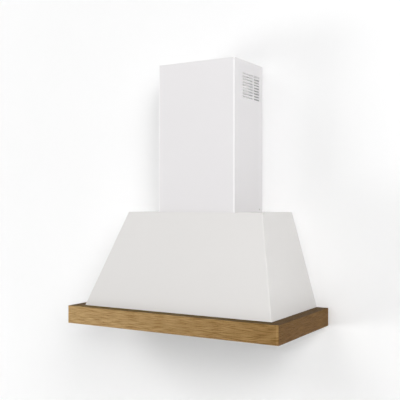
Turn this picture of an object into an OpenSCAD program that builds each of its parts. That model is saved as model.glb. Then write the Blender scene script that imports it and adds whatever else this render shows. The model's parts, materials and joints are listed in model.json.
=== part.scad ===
// Wall-mounted range hood: a tapered sheet-metal canopy with an oak band round
// its foot and a telescopic chimney. Millimetres. The wall is the plane y = 0,
// the front faces -y, and z = 0 is the underside of the oak band.

/* [Oak band] */
// Overall width of the band
band_w = 1000; // [940:10:1200]
// Depth of the band, from the wall to its front face
band_d = 510; // [490:5:600]
// Height of the rails
band_h = 75; // [60:1:100]
// Thickness of the rails, which is also the width of the ledge round the canopy
rail_t = 52; // [40:1:60]
// Radius of the band's two upright front corners
rail_corner_r = 3; // [1:0.5:8]
// Length of each arm of the steel plates under the mitres
corner_plate_l = 60; // [45:1:80]
// Width of the arms of those plates
corner_plate_w = 22; // [16:1:28]

/* [Canopy] */
// Width of the canopy's top
canopy_top_w = 665; // [560:5:760]
// Depth of the canopy's top
canopy_top_d = 295; // [285:5:340]
// Height of the tapered part above the band
canopy_h = 407; // [390:1:520]
// Thickness of the canopy, chimney and liner sheet
sheet_t = 1; // [0.8:0.1:1.5]
// Bend radius of the canopy's front corners
canopy_bend_r = 3; // [2:0.5:6]
// How far the canopy's skirt stops above the underside of the band
skirt_recess = 8; // [6:0.5:14]
// Width of the flange turned in at the foot of the skirt
flange_w = 16; // [12:1:22]
// Distance between the two keyholes that the canopy hangs from
keyhole_span = 400; // [300:10:460]
// Distance between the two lower wall screws
wall_screw_span = 560; // [400:10:640]
// Radius of the holes for the lower wall screws
wall_hole_r = 4; // [3:0.5:5]
// Radius of a keyhole's round part
key_r = 6.5; // [6:0.1:8]
// Radius of a keyhole's slot
key_slot_r = 3.2; // [2.5:0.1:3.8]

/* [Chimney] */
// Height of the whole hood, from the underside of the band to the top of the chimney
hood_h = 1130; // [1100:5:1180]
// Width of the chimney cover
chimney_w = 380; // [370:5:420]
// Depth of the chimney cover
chimney_d = 265; // [255:5:280]
// How far the pushed-in extension's foot stays above the canopy
extension_lift = 86; // [60:1:120]
// How far the pushed-in extension's top lies below the cover's top
extension_drop = 2; // [1:0.5:6]
// Sliding gap between the cover and the extension
chimney_gap = 0.5; // [0.3:0.1:0.8]
// Bend radius of the chimney's front corners
bend_r = 3; // [2:0.5:5]

/* [Vent] */
// Number of rows of slots on each side
vent_rows = 9; // [5:1:10]
// Distance from one row to the next
vent_pitch = 12.3; // [11:0.1:13]
// Height of a slot
slot_h = 6; // [4:0.5:8]
// Length of the front slots
slot_long = 98; // [60:1:110]
// Length of the rear slots
slot_short = 54; // [30:1:60]
// Metal left between the front and rear slots
slot_bridge = 10; // [6:1:14]
// Distance of the rear slots from the wall
vent_back = 30; // [26:1:36]
// Distance of the top row below the top of the chimney
vent_drop = 56; // [45:1:70]

/* [Filters] */
// Liner metal left between the outer windows and the outside of the skirt
window_side = 35.5; // [30:0.5:60]
// Liner metal left between the windows and the lamp housings
window_front = 12.5; // [6:0.5:40]
// Thickness of a baffle filter
filter_t = 14; // [13:0.5:18]
// Width of the rails of a filter's frame
filter_rail = 12; // [11:0.5:14]
// Clearance all round a filter in its window
filter_gap = 1.5; // [1:0.1:2]
// Metal left between two windows
filter_space = 21; // [16:1:24]
// Distance of the filters from the wall
filter_back = 34; // [32:1:40]
// Number of lower baffles in a filter
baffle_n = 7; // [5:1:8]
// Gap between lower baffles
baffle_gap = 12; // [9:1:13]
// Travel of a filter's latch
latch_travel = 3; // [2:0.5:3.5]

/* [Lamps and buttons] */
// Distance between the two lamps
lamp_span = 600; // [480:10:680]
// Radius of the lamp holes in the liner
lamp_r = 30; // [24:1:32]
// Distance of the lamps and buttons behind the front of the skirt
light_line = 55; // [54:1:62]
// Number of push buttons
button_n = 5;
// Distance from one button to the next
button_pitch = 22; // [18:1:24]
// Radius of a button
button_r = 5; // [4:0.5:6]
// Travel of a button
button_travel = 2; // [1:0.5:2.5]

/* [Blower] */
// Outer radius of the outlet collar, which takes a 150 mm duct
collar_r = 75; // [60:0.5:76]
// Height of the collar above the canopy
collar_h = 48; // [40:1:60]
// Wall of the collar
collar_t = 2; // [1.5:0.5:3]
// Radius of the fan wheel
wheel_r = 95; // [85:1:98]
// Width of the fan wheel
wheel_w = 120; // [100:2:126]
// Number of blades on the fan wheel
blade_n = 36; // [24:1:44]
// Inside width of the scroll casing
casing_w = 150; // [142:1:160]
// Radius of the motor
motor_r = 42; // [36:1:46]
// Radius of the motor shaft
shaft_r = 5; // [4:0.5:6]

/* [Hidden] */

// Every curve is drawn with this many steps unless it says otherwise
$fn = 48;
// Overshoot of a cut beyond the face that it leaves by
cut = 1;
// Clearance of pieces that sit loosely beside each other
ease = 0.3;
// Clearance of a shaft or pin in its bore
run_fit = 0.05;
// Clearance of a shaft or pin in the part that holds it fast
press_fit = 0.02;

// Heights of the main levels
canopy_z = band_h + canopy_h;
liner_z = skirt_recess + sheet_t;
liner_top = liner_z + sheet_t;
chimney_h = hood_h - canopy_z;
extension_z = hood_h - extension_drop;
extension_h = chimney_h - extension_drop - extension_lift;

// Outside of the skirt
skirt_w = band_w - 2 * rail_t;
skirt_d = band_d - rail_t;

// Half width and front of the canopy's outside at height z
function taper(z) = max(0, z - band_h) / canopy_h;
function canopy_side(z) = skirt_w / 2 + (canopy_top_w - skirt_w) / 2 * taper(z);
function canopy_front(z) = -skirt_d + (skirt_d - canopy_top_d) * taper(z);

// Wood and machine screws
// As [radius, head radius, head height]
wood_screw = [2, 4.2, 2.6];
sheet_screw = [1.75, 3.6, 2.2];
recess_w = 0.8;
rail_screw_l = 34;
rail_screw_z = band_h / 2;
front_screw_edge = 70;
side_screw_front = 80;
side_screw_back = 90;
liner_screw_edge = 130;
// How far a screw stands out behind the last sheet that it holds
screw_grip = 4;
// Clearance of screws in the holes that they cut, and in the holes that they pass through
thread_fit = 0.1;
pass_fit = 0.15;
plate_t = 1.5;
plate_inset = 0.6;
plate_screw_l = 18;
plate_head_r = 3.6;
plate_head_sunk = 0.1;

// Wall fixings in the back panel
key_z = canopy_z - 52;
key_rise = 14;
wall_screw_z = band_h + 35;

// Centre of the duct and of the chimney's bore
duct_y = -chimney_d / 2;

// Axis of the fan wheel, with the scroll opening upwards behind it
scroll_start = wheel_r + 7;
scroll_end = 2 * collar_r;
scroll_turn = 270;
casing_t = 1.5;
gasket_t = 3;
casing_top = canopy_z - sheet_t - gasket_t;
casing_flange = 15;
casing_rise = 56;
wheel_y = duct_y - scroll_end / 2;
wheel_z = casing_top - scroll_start - casing_rise;
inlet_r = wheel_r - 23;
inlet_l = 8;
hub_r = 14;
hub_l = 24;
grommet_l = 11;
spider_x = casing_w / 2 + casing_t + grommet_l;
spider_t = 3;
grommet_r = 8;
grommet_ring = wheel_r - 9;
grommet_angles = [90, 210, 330];
motor_x0 = hub_l / 2 + 4;
motor_x1 = spider_x + spider_t + 10;

// Dampers hinge on a pin across the collar
damper_z = canopy_z + 9;
collar_flange = 20;
damper_pin_r = 1.5;
damper_t = 1;
knuckle_r = 3;

// Chimney fixings
foot_h = 26;
foot_w = 28;
foot_y = -29;
foot_t = 2;
foot_screw_z = 11;
bracket_h = 30;
bracket_t = 2;
bracket_drop = 10;
bracket_hole_r = 3;
bracket_hole_span = 200;
bracket_joggle = 8;
ear_d = 30;
ear_screw_y = 18;
hem_w = 10;
extension_back = sheet_t + chimney_gap;
extension_w = chimney_w - 2 * (sheet_t + chimney_gap);

// Filters, and the row of lamps and buttons in front of them
light_y = -skirt_d + light_line;
lamp_flange = 7;
filter_w = (skirt_w - 2 * window_side - 2 * filter_space) / 3 - 2 * filter_gap;
filter_front = -light_y - lamp_r - lamp_flange - window_front - filter_gap;
filter_d = filter_front - filter_back;
filter_sheet = 1;
baffle_h = 7;
baffle_lap = 7;
latch_w = 40;
nose_w = 24;
latch_shoulder = 8;
latch_d = 3.6;
latch_h = 5;
tab_y = 2.3;
tab_d = 2.6;
tab_h = 5;
nose_z = 2;
nose_h = 3;
slot_side = 0.5;
slot_end = 0.4;
hook_w = 20;
hook_pin_r = 1.5;
hook_pin_l = 34;
hook_t = 1;
hook_l = filter_gap + 3;
hook_y = -filter_back + hook_l;
hook_z = liner_top + ease + hook_pin_r;
notch_side = 2;
notch_end = 1.5;
bezel_t = 1.6;
bezel_w = (button_n - 1) * button_pitch + 52;
bezel_d = 28;
bezel_lap = 5;
box_wall = 2;
box_w = bezel_w + 6;
box_d = 38;
box_h = 32;
lamp_h = 26;
lamp_sleeve = 1.7;
lens_t = 2.5;
fin_h = 10;
fin_t = 5;
fin_pitch = 8;
lead_d = 6;
lead_entry = 6;
control_lead_edge = 33;
board_t = 1.6;
board_rise = 19;
switch_h = 3.5;
switch_w = 10;
button_flange = 1.2;
button_flange_w = 1.5;
button_proud = 3;

// Junction box under the canopy's top, with the gland above it
gland_edge = 40;
gland_x = chimney_w / 2 - gland_edge;
gland_y = -62;
gland_bore_r = 4;
gland_r = 9;
gland_h = 16;
gland_hole_r = 7;
junction_w = 100;
junction_d = 2 * (foot_y - gland_y - 4);
junction_h = 40;
junction_z = canopy_z - sheet_t - junction_h;

// Points that the leads pass, chosen by hand. Those of the control lead are steps [x, y, z] away from
// the control box, then [x, distance behind the canopy's front, z] on the way up, and then steps away
// from the junction box. The motor lead's steps go down from the junction box and away from the motor
control_out = [[0, 0, 0], [0, 0, 20], [70, 10, 60]];
control_way = [[210, 30, 190], [235, 45, 300]];
control_in = [[30, -90, -39], [5, -30, 0], [0, 0, 0]];
motor_out = [[0, 0, 0], [0, 0, -25]];
motor_turn = [5, 40];
motor_in = [[30, 8, 0], [0, 0, 0]];
// Those of a lamp lead are [inwards, up] from the lamp's top, then from where it would lie on the liner
// below that top, and at last [outwards, up] from the control box
lamp_out = [[0, 0], [0, 12], [22, 20], [48, -4]];
lamp_way = [[78, 6], [105, 1], [140, 0]];
lamp_in = [[60, -2.2], [20, 0], [-box_wall, 0]];

// Round list of points about [x, y] from one angle to another
function arc(x, y, r, from, to, steps = 6) =
    [for (i = [0:steps]) let (a = from + (to - from) * i / steps) [x + r * cos(a), y + r * sin(a)]];

// Outline with its back on y = back and its two front corners rounded
function front_rounded(w, d, r, back = 0) = concat(
    [[w / 2, back]], [[-w / 2, back]],
    arc(-w / 2 + r, -d + r, r, 180, 270),
    arc(w / 2 - r, -d + r, r, 270, 360)
);

// Canopy solid in three levels, taken in by inset on the front and sides, with bent front corners
module canopy_solid(inset, z0, z2, back) {
    rings = [for (z = [z0, band_h, z2])
        let (w = 2 * (canopy_side(z) - inset), d = -canopy_front(z) - inset, r = canopy_bend_r - inset)
        [for (p = front_rounded(w, d, r, back)) [p[0], p[1], z]]];
    n = len(rings[0]);
    foot = [for (k = [0:n - 1]) k];
    top = [for (k = [n - 1:-1:0]) 2 * n + k];
    sides = [for (l = [0, n]) for (k = [0:n - 1]) [l + n + k, l + n + (k + 1) % n, l + (k + 1) % n, l + k]];
    polyhedron([for (ring = rings) each ring], concat([foot, top], sides));
}

// Plate with a rectangular hole, both centred
module frame_plate(w, d, hole_w, hole_d, t) {
    difference() {
        translate([-w / 2, -d / 2, 0]) cube([w, d, t]);
        translate([-hole_w / 2, -hole_d / 2, -cut]) cube([hole_w, hole_d, t + 2 * cut]);
    }
}

// Screw with its head's underside at the origin and its shank along -z
module screw(kind, length) {
    r = kind[0];
    head_r = kind[1];
    head_h = kind[2];
    difference() {
        union() {
            cylinder(r = head_r, h = head_h * 0.6);
            translate([0, 0, head_h * 0.6]) cylinder(r1 = head_r, r2 = head_r * 0.6, h = head_h * 0.4);
            translate([0, 0, -length]) cylinder(r = r, h = length);
        }
        for (a = [0, 90])
            rotate([0, 0, a]) translate([-head_r * 0.55, -recess_w / 2, head_h * 0.4])
                cube([head_r * 1.1, recess_w, head_h]);
    }
}

// The same screw as a hole for it, a little wider
module screw_hole(kind, length, extra = thread_fit) {
    translate([0, 0, -length]) cylinder(r = kind[0] + extra, h = length + cut);
}

// A hole for a screw to pass through a sheet of thickness t that lies on z = 0
module pass_hole(kind, t, extra = pass_fit) {
    translate([0, 0, -cut]) cylinder(r = kind[0] + extra, h = t + 2 * cut);
}

// Sets its children facing the front, a side (1 right, -1 left), down or up
module face_front() { rotate([90, 0, 0]) children(); }
module face_back() { rotate([-90, 0, 0]) children(); }
module face_side(s) { rotate([0, s * 90, 0]) children(); }
module face_down() { rotate([180, 0, 0]) children(); }

// Puts a YZ outline, drawn as [y, z], along x from x0
module along_x(x0, l) { translate([x0, 0, 0]) rotate([90, 0, 90]) linear_extrude(l) children(); }

// Places of the fasteners

// Screws from inside the skirt into the rails: along x on the front, along y on the sides
front_screw_x = [-skirt_w / 2 + front_screw_edge, -skirt_w / 6, skirt_w / 6, skirt_w / 2 - front_screw_edge];
side_screw_y = [-skirt_d + side_screw_front, -side_screw_back];
module at_rail_screws() {
    for (x = front_screw_x)
        translate([x, -skirt_d + sheet_t, rail_screw_z]) face_back() children();
    for (s = [-1, 1]) for (y = side_screw_y)
        translate([s * (skirt_w / 2 - sheet_t), y, rail_screw_z]) face_side(-s) children();
}

// Screws up through the flange into the liner
module at_liner_screws() {
    edge = flange_w / 2 + sheet_t;
    for (s = [-1, 1]) for (x = [skirt_w * 0.12, skirt_w / 2 - liner_screw_edge])
        translate([s * x, -skirt_d + edge, skirt_recess]) face_down() children();
    for (s = [-1, 1]) for (y = [-skirt_d * 0.75, -skirt_d * 0.25])
        translate([s * (skirt_w / 2 - edge), y, skirt_recess]) face_down() children();
}

// Corner of the mitre on the band's centre line, mirrored to both sides
module at_mitres() {
    for (s = [-1, 1])
        translate([s * (band_w / 2 - rail_t / 2), -band_d + rail_t / 2, 0]) scale_x(s) children();
}
module scale_x(s) { mirror([s < 0 ? 1 : 0, 0, 0]) children(); }
module at_plate_screws() {
    for (p = [0.45, 0.85]) {
        translate([-corner_plate_l * p, 0, 0]) children();
        translate([0, corner_plate_l * p, 0]) children();
    }
}

module at_collar_screws() {
    for (a = [45:90:315])
        translate([0, duct_y, 0]) rotate([0, 0, a]) translate([collar_r + collar_flange * 0.55, 0, 0])
            children();
}

module at_blower_screws() {
    for (sx = [-1, 1]) for (sy = [-1, 1])
        translate([sx * (casing_w / 2 + casing_t + casing_flange / 2), duct_y + sy * scroll_end * 0.38, 0])
            translate([0, 0, casing_top - casing_t]) children();
}

module at_feet() {
    for (s = [-1, 1])
        translate([s * (chimney_w / 2 - sheet_t), foot_y, canopy_z]) scale_x(s) children();
}

module at_motor_screws() {
    for (a = grommet_angles)
        translate([0, wheel_y + grommet_ring * cos(a), wheel_z + grommet_ring * sin(a)]) children();
}

// Canopy and its panels

module canopy_shell() {
    opening_w = skirt_w - 2 * (flange_w + sheet_t);
    opening_d = skirt_d - flange_w - sheet_t;
    color("whitesmoke") difference() {
        canopy_solid(0, skirt_recess, canopy_z, 0);
        canopy_solid(sheet_t, skirt_recess + sheet_t, canopy_z + cut, cut);
        translate([-opening_w / 2, -opening_d, skirt_recess - cut])
            cube([opening_w, opening_d + cut, sheet_t + 2 * cut]);
        // The flange stops at the back panel
        translate([-skirt_w / 2 + sheet_t, -sheet_t - ease, skirt_recess - cut])
            cube([skirt_w - 2 * sheet_t, sheet_t + ease + cut, sheet_t + 2 * cut]);
        at_rail_screws() translate([0, 0, -sheet_t]) pass_hole(wood_screw, 2 * sheet_t);
        at_liner_screws() screw_hole(sheet_screw, sheet_t + cut, pass_fit);
    }
}

// Plate welded into the top of the shell, which carries the blower, the collar and the chimney
module canopy_top() {
    w = 2 * (canopy_side(canopy_z) - sheet_t);
    d = -canopy_front(canopy_z) - sheet_t;
    color("whitesmoke") difference() {
        translate([0, 0, canopy_z - sheet_t]) linear_extrude(sheet_t)
            polygon(front_rounded(w, d, canopy_bend_r - sheet_t));
        translate([0, duct_y, canopy_z - sheet_t - cut])
            cylinder(r = collar_r - collar_t, h = sheet_t + 2 * cut);
        translate([0, 0, canopy_z]) at_collar_screws() screw_hole(sheet_screw, sheet_t + cut, pass_fit);
        at_blower_screws() pass_hole(sheet_screw, casing_t + gasket_t + sheet_t);
        translate([gland_x, gland_y, canopy_z - sheet_t - cut])
            cylinder(r = gland_hole_r + thread_fit, h = sheet_t + 2 * cut);
        at_feet() translate([-foot_h / 2, 0, 0]) screw_hole(sheet_screw, sheet_t + cut, pass_fit);
    }
}

module back_panel() {
    x0 = skirt_w / 2 - sheet_t;
    x1 = canopy_side(canopy_z - sheet_t) - sheet_t;
    color("whitesmoke") difference() {
        union() {
            rotate([90, 0, 0]) linear_extrude(sheet_t) polygon([
                [-x0, 0], [x0, 0], [x0, band_h],
                [x1, canopy_z - sheet_t], [-x1, canopy_z - sheet_t], [-x0, band_h]
            ]);
            translate([-x0 + flange_w, -flange_w, skirt_recess])
                cube([2 * (x0 - flange_w), flange_w, sheet_t]);
        }
        for (s = [-1, 1]) {
            translate([s * keyhole_span / 2, cut, key_z]) face_front()
                cylinder(r = key_r, h = sheet_t + 2 * cut);
            translate([s * keyhole_span / 2, cut, key_z + key_rise]) face_front()
                cylinder(r = key_slot_r, h = sheet_t + 2 * cut);
            translate([s * keyhole_span / 2 - key_slot_r, -sheet_t - cut, key_z])
                cube([2 * key_slot_r, sheet_t + 2 * cut, key_rise]);
            translate([s * wall_screw_span / 2, cut, wall_screw_z]) face_front()
                cylinder(r = wall_hole_r, h = sheet_t + 2 * cut);
        }
    }
}

// Centre of filter i in x
function filter_x(i) = (i - 1) * (filter_w + 2 * filter_gap + filter_space);

// The two hooks of filter i, at the pins that it swings on
module at_filter_hooks(i) {
    for (s = [-1, 1])
        translate([filter_x(i) + s * filter_w * 0.3, hook_y, 0]) children();
}

module liner_panel() {
    inset = sheet_t + ease;
    window_w = filter_w + 2 * filter_gap;
    window_d = filter_d + 2 * filter_gap;
    color("gainsboro") difference() {
        translate([0, -inset, liner_z]) linear_extrude(sheet_t)
            polygon(front_rounded(skirt_w - 2 * inset, skirt_d - 2 * inset, canopy_bend_r));
        for (i = [0:2]) {
            translate([filter_x(i) - window_w / 2, -filter_front - filter_gap, liner_z - cut])
                cube([window_w, window_d, sheet_t + 2 * cut]);
            at_filter_hooks(i) translate([-hook_w / 2 - notch_side, -hook_l, liner_z - cut])
                cube([hook_w + 2 * notch_side, hook_l + notch_end, sheet_t + 2 * cut]);
        }
        for (s = [-1, 1])
            translate([s * lamp_span / 2, light_y, liner_z - cut])
                cylinder(r = lamp_r, h = sheet_t + 2 * cut);
        translate([-bezel_w / 2 + bezel_lap, light_y - bezel_d / 2 + bezel_lap, liner_z - cut])
            cube([bezel_w - 2 * bezel_lap, bezel_d - 2 * bezel_lap, sheet_t + 2 * cut]);
        at_liner_screws() screw_hole(sheet_screw, 3 * sheet_t);
    }
}

module liner_screws() { color("silver") at_liner_screws() screw(sheet_screw, 2 * sheet_t + screw_grip); }

// Oak band

// Band outline, closed at the back so that mitred wedges can cut it
module band_outline() {
    difference() {
        polygon(front_rounded(band_w, band_d, rail_corner_r));
        translate([-skirt_w / 2, -skirt_d]) square([skirt_w, skirt_d + cut]);
    }
}

// One rail: the part of the band inside the wedge, with its screw holes and plate pockets
module rail(wedge) {
    difference() {
        linear_extrude(band_h) intersection() {
            band_outline();
            polygon(wedge);
        }
        at_rail_screws() screw_hole(wood_screw, rail_screw_l, run_fit);
        at_mitres() translate([0, 0, -cut]) plate_outline(ease, plate_inset + plate_t + cut);
        at_mitres() at_plate_screws() face_down()
            screw_hole(wood_screw, plate_inset + plate_screw_l + cut, run_fit);
    }
}

// L-shaped plate in the corner, with its arms along -x and +y
module plate_outline(extra, t) {
    w = corner_plate_w + 2 * extra;
    l = corner_plate_l + corner_plate_w / 2 + 2 * extra;
    translate([-l + w / 2, -w / 2, 0]) cube([l, w, t]);
    translate([-w / 2, -w / 2, 0]) cube([w, l, t]);
}

// Corners of the mitre lines, from the outer corner inwards
mitre_run = 60;
mitre_out = [band_w / 2 + mitre_run, -band_d - mitre_run];
mitre_in = [band_w / 2 - rail_t - mitre_run, -band_d + rail_t + mitre_run];

module front_rail() {
    color("peru") rail([[-mitre_out[0], mitre_out[1]], mitre_out, mitre_in, [-mitre_in[0], mitre_in[1]]]);
}
module side_rail(s) {
    wedge = [mitre_out, [mitre_out[0], cut], [mitre_in[0], cut], mitre_in];
    color("sienna") rail([for (p = wedge) [s * p[0], p[1]]]);
}
module left_rail() { side_rail(-1); }
module right_rail() { side_rail(1); }

module rail_screws() { color("silver") at_rail_screws() screw(wood_screw, rail_screw_l - 1); }

module corner_plates() {
    color("silver") at_mitres() translate([0, 0, plate_inset]) difference() {
        plate_outline(0, plate_t);
        at_plate_screws() pass_hole(wood_screw, plate_t);
    }
}

// Screws with thin flat heads, which stay inside the pocket
module corner_plate_screws() {
    color("dimgray") at_mitres() at_plate_screws() translate([0, 0, plate_inset]) face_down() {
        cylinder(r = plate_head_r, h = plate_inset - plate_head_sunk);
        translate([0, 0, -plate_screw_l]) cylinder(r = wood_screw[0], h = plate_screw_l);
    }
}

// Chimney

// The cover's sides are turned in at the wall, and both sides have the vent
module chimney_cover() {
    color("white") difference() {
        translate([0, 0, canopy_z]) linear_extrude(chimney_h) {
            difference() {
                polygon(front_rounded(chimney_w, chimney_d, bend_r));
                polygon(front_rounded(chimney_w - 2 * sheet_t, chimney_d - sheet_t, bend_r - sheet_t, cut));
            }
            for (s = [-1, 1])
                translate([s > 0 ? chimney_w / 2 - sheet_t - hem_w : -chimney_w / 2, -sheet_t])
                    square([hem_w + sheet_t, sheet_t]);
        }
        vent();
        at_feet() translate([0, 0, foot_screw_z]) face_side(1) pass_hole(sheet_screw, sheet_t);
    }
}

// L-shaped feet that hold the cover down on the canopy
module chimney_feet() {
    color("silver") at_feet() difference() {
        union() {
            translate([-foot_t, -foot_w / 2, 0]) cube([foot_t, foot_w, foot_h]);
            translate([-foot_h, -foot_w / 2, 0]) cube([foot_h, foot_w, foot_t]);
        }
        translate([-foot_t, 0, foot_screw_z]) face_side(1) pass_hole(sheet_screw, foot_t, thread_fit);
        translate([-foot_h / 2, 0, 0]) pass_hole(sheet_screw, foot_t, thread_fit);
    }
}

module chimney_foot_screws() {
    color("silver") at_feet() {
        translate([sheet_t, 0, foot_screw_z]) face_side(1) screw(sheet_screw, sheet_t + foot_t + screw_grip);
        translate([-foot_h / 2, 0, foot_t]) screw(sheet_screw, foot_t + sheet_t + screw_grip);
    }
}

// Vent slots with round ends, cut through both sides of the chimney
module vent() {
    back_run = [-vent_back - slot_short, slot_short];
    front_run = [back_run[0] - slot_bridge - slot_long, slot_long];
    for (k = [0:vent_rows - 1]) for (run = [back_run, front_run])
        translate([-chimney_w, run[0], hood_h - vent_drop - k * vent_pitch]) {
            translate([0, slot_h / 2, -slot_h / 2]) cube([2 * chimney_w, run[1] - slot_h, slot_h]);
            for (y = [slot_h / 2, run[1] - slot_h / 2])
                translate([0, y, 0]) rotate([0, 90, 0]) cylinder(r = slot_h / 2, h = 2 * chimney_w);
        }
}

// Its own vent lies behind the cover's while it is pushed in
module chimney_extension() {
    inner_w = extension_w - 2 * sheet_t;
    depth = chimney_d - extension_back;
    outer_r = bend_r - sheet_t;
    color("white") difference() {
        translate([0, 0, extension_z - extension_h]) linear_extrude(extension_h) difference() {
            translate([0, -extension_back])
                polygon(front_rounded(extension_w, depth - extension_back, outer_r));
            polygon(front_rounded(inner_w, depth - sheet_t, outer_r / 2, cut));
        }
        vent();
        at_bracket_screws() translate([-sheet_t, 0, 0]) face_side(1) pass_hole(sheet_screw, sheet_t);
    }
}

// Screws through the extension's sides into the bracket's ears
module at_bracket_screws() {
    for (s = [-1, 1])
        scale_x(s) translate([extension_w / 2, -ear_screw_y, extension_z - bracket_drop - bracket_h / 2])
            children();
}

// Wall strap with a joggled ear at each end, inside the top of the extension
module chimney_bracket() {
    z = extension_z - bracket_drop - bracket_h;
    ear_x = extension_w / 2 - sheet_t;
    strap_x = ear_x - hem_w - bracket_joggle;
    color("white") difference() {
        union() {
            translate([-strap_x, -bracket_t, z]) cube([2 * strap_x, bracket_t, bracket_h]);
            for (s = [-1, 1]) scale_x(s) {
                translate([strap_x - bracket_t, -2 * bracket_t, z])
                    cube([ear_x - strap_x + bracket_t, bracket_t, bracket_h]);
                translate([ear_x - bracket_t, -ear_d, z]) cube([bracket_t, ear_d - bracket_t, bracket_h]);
            }
        }
        for (s = [-1, 1])
            translate([s * bracket_hole_span / 2, cut, z + bracket_h / 2]) rotate([90, 0, 0])
                cylinder(r = bracket_hole_r, h = bracket_t + 2 * cut);
        at_bracket_screws() translate([-sheet_t - bracket_t, 0, 0]) face_side(1)
            pass_hole(sheet_screw, bracket_t, thread_fit);
    }
}

// Their heads are sunk flush with the sheet, so that they pass inside the cover
module bracket_screws() {
    l = sheet_t + bracket_t + screw_grip;
    color("silver") at_bracket_screws() translate([-l, 0, 0]) face_side(1)
        cylinder(r = sheet_screw[0], h = l);
}

// Outlet collar and its non-return dampers

module outlet_collar() {
    r_in = collar_r - collar_t;
    ledge_z = damper_z - damper_t / 2 - ease;
    ledge_w = 3.5;
    color("gray") difference() {
        translate([0, duct_y, 0]) rotate_extrude() {
            translate([r_in, canopy_z]) square([collar_t + collar_flange, collar_t]);
            translate([r_in, canopy_z]) square([collar_t, collar_h]);
            translate([r_in - ledge_w, ledge_z - collar_t]) square([ledge_w + collar_t / 2, collar_t]);
        }
        translate([0, 0, canopy_z + collar_t]) at_collar_screws() screw_hole(sheet_screw, collar_t + cut);
        translate([-collar_r - cut, duct_y, damper_z]) rotate([0, 90, 0])
            cylinder(r = damper_pin_r + press_fit, h = 2 * (collar_r + cut));
    }
}

module collar_screws() {
    color("silver") translate([0, 0, canopy_z + collar_t]) at_collar_screws()
        screw(sheet_screw, collar_t + sheet_t + screw_grip);
}

module damper_pin() {
    l = 2 * collar_r - 1;
    color("silver") translate([-l / 2, duct_y, damper_z]) face_side(1) cylinder(r = damper_pin_r, h = l);
}

// Half-disc flap with two knuckles on the pin. s is -1 for the front flap, 1 for the rear one
module damper_flap(s) {
    flap_r = collar_r - collar_t - 1.5;
    flap_y = knuckle_r + 0.6;
    knuckle_l = 18;
    // The rear flap's knuckles lie beside the front one's
    knuckle_x = [for (x = [-50, 10]) s > 0 ? x + knuckle_l + 2.5 : x];
    color("darkgray") translate([0, duct_y, damper_z]) difference() {
        union() {
            intersection() {
                translate([0, 0, -damper_t / 2]) cylinder(r = flap_r, h = damper_t);
                translate([-flap_r, s > 0 ? flap_y : -flap_r - flap_y, -damper_t])
                    cube([2 * flap_r, flap_r, 2 * damper_t]);
            }
            for (x = knuckle_x) translate([x, 0, 0]) {
                rotate([0, 90, 0]) cylinder(r = knuckle_r, h = knuckle_l);
                translate([0, s > 0 ? 0 : -knuckle_r - 2, -damper_t / 2])
                    cube([knuckle_l, knuckle_r + 2, damper_t]);
            }
        }
        translate([-collar_r, 0, 0]) face_side(1) cylinder(r = damper_pin_r + run_fit, h = 2 * collar_r);
    }
}
module damper_flap_front() { damper_flap(-1); }
module damper_flap_rear() { damper_flap(1); }

// Blower

// Scroll outline, drawn as [y, z]: from the tongue above the wheel, in a spiral round the
// front to the back, and up to the outlet at height top
module scroll_outline(extra, top) {
    up = 90;
    step = 15;
    spiral = [for (a = [step:step:scroll_turn])
        let (r = scroll_start + (scroll_end - scroll_start) * a / scroll_turn + extra)
        [wheel_y + r * cos(up + a), wheel_z + r * sin(up + a)]];
    tongue = [wheel_y - extra, wheel_z + scroll_start + extra];
    polygon(concat([[wheel_y - extra, top], tongue], spiral, [[wheel_y + scroll_end + extra, top]]));
}

module blower_wrap() {
    color("lightgray") difference() {
        union() {
            along_x(-casing_w / 2, casing_w) scroll_outline(casing_t, casing_top - casing_t);
            translate([0, duct_y, casing_top - casing_t]) frame_plate(
                casing_w + 2 * (casing_t + casing_flange), scroll_end + 2 * (casing_t + casing_flange),
                casing_w, scroll_end, casing_t);
        }
        along_x(-casing_w / 2 - cut, casing_w + 2 * cut) scroll_outline(0, casing_top - casing_t);
        at_blower_screws() pass_hole(sheet_screw, casing_t);
    }
}

// Side plate with a drawn inlet ring; s is 1 for the right, -1 for the left
module blower_side(s) {
    color("lightgray") scale_x(s) difference() {
        union() {
            along_x(casing_w / 2, casing_t) scroll_outline(casing_t, casing_top - casing_t);
            translate([casing_w / 2 - inlet_l, wheel_y, wheel_z]) face_side(1)
                cylinder(r = inlet_r, h = inlet_l + casing_t);
        }
        translate([casing_w / 2 - inlet_l - cut, wheel_y, wheel_z]) face_side(1)
            cylinder(r = inlet_r - casing_t, h = inlet_l + casing_t + 2 * cut);
        translate([casing_w / 2, 0, 0]) at_motor_screws() face_side(1) pass_hole(wood_screw, casing_t);
    }
}
module blower_side_left() { blower_side(-1); }
module blower_side_right() { blower_side(1); }

module blower_gasket() {
    color("dimgray") difference() {
        translate([0, duct_y, casing_top]) frame_plate(
            casing_w + 2 * (casing_t + casing_flange), scroll_end + 2 * (casing_t + casing_flange),
            casing_w, scroll_end, gasket_t);
        at_blower_screws() pass_hole(sheet_screw, casing_t + gasket_t);
    }
}

module blower_screws() {
    color("silver") at_blower_screws() face_down()
        screw(sheet_screw, casing_t + gasket_t + sheet_t + screw_grip);
}

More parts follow.
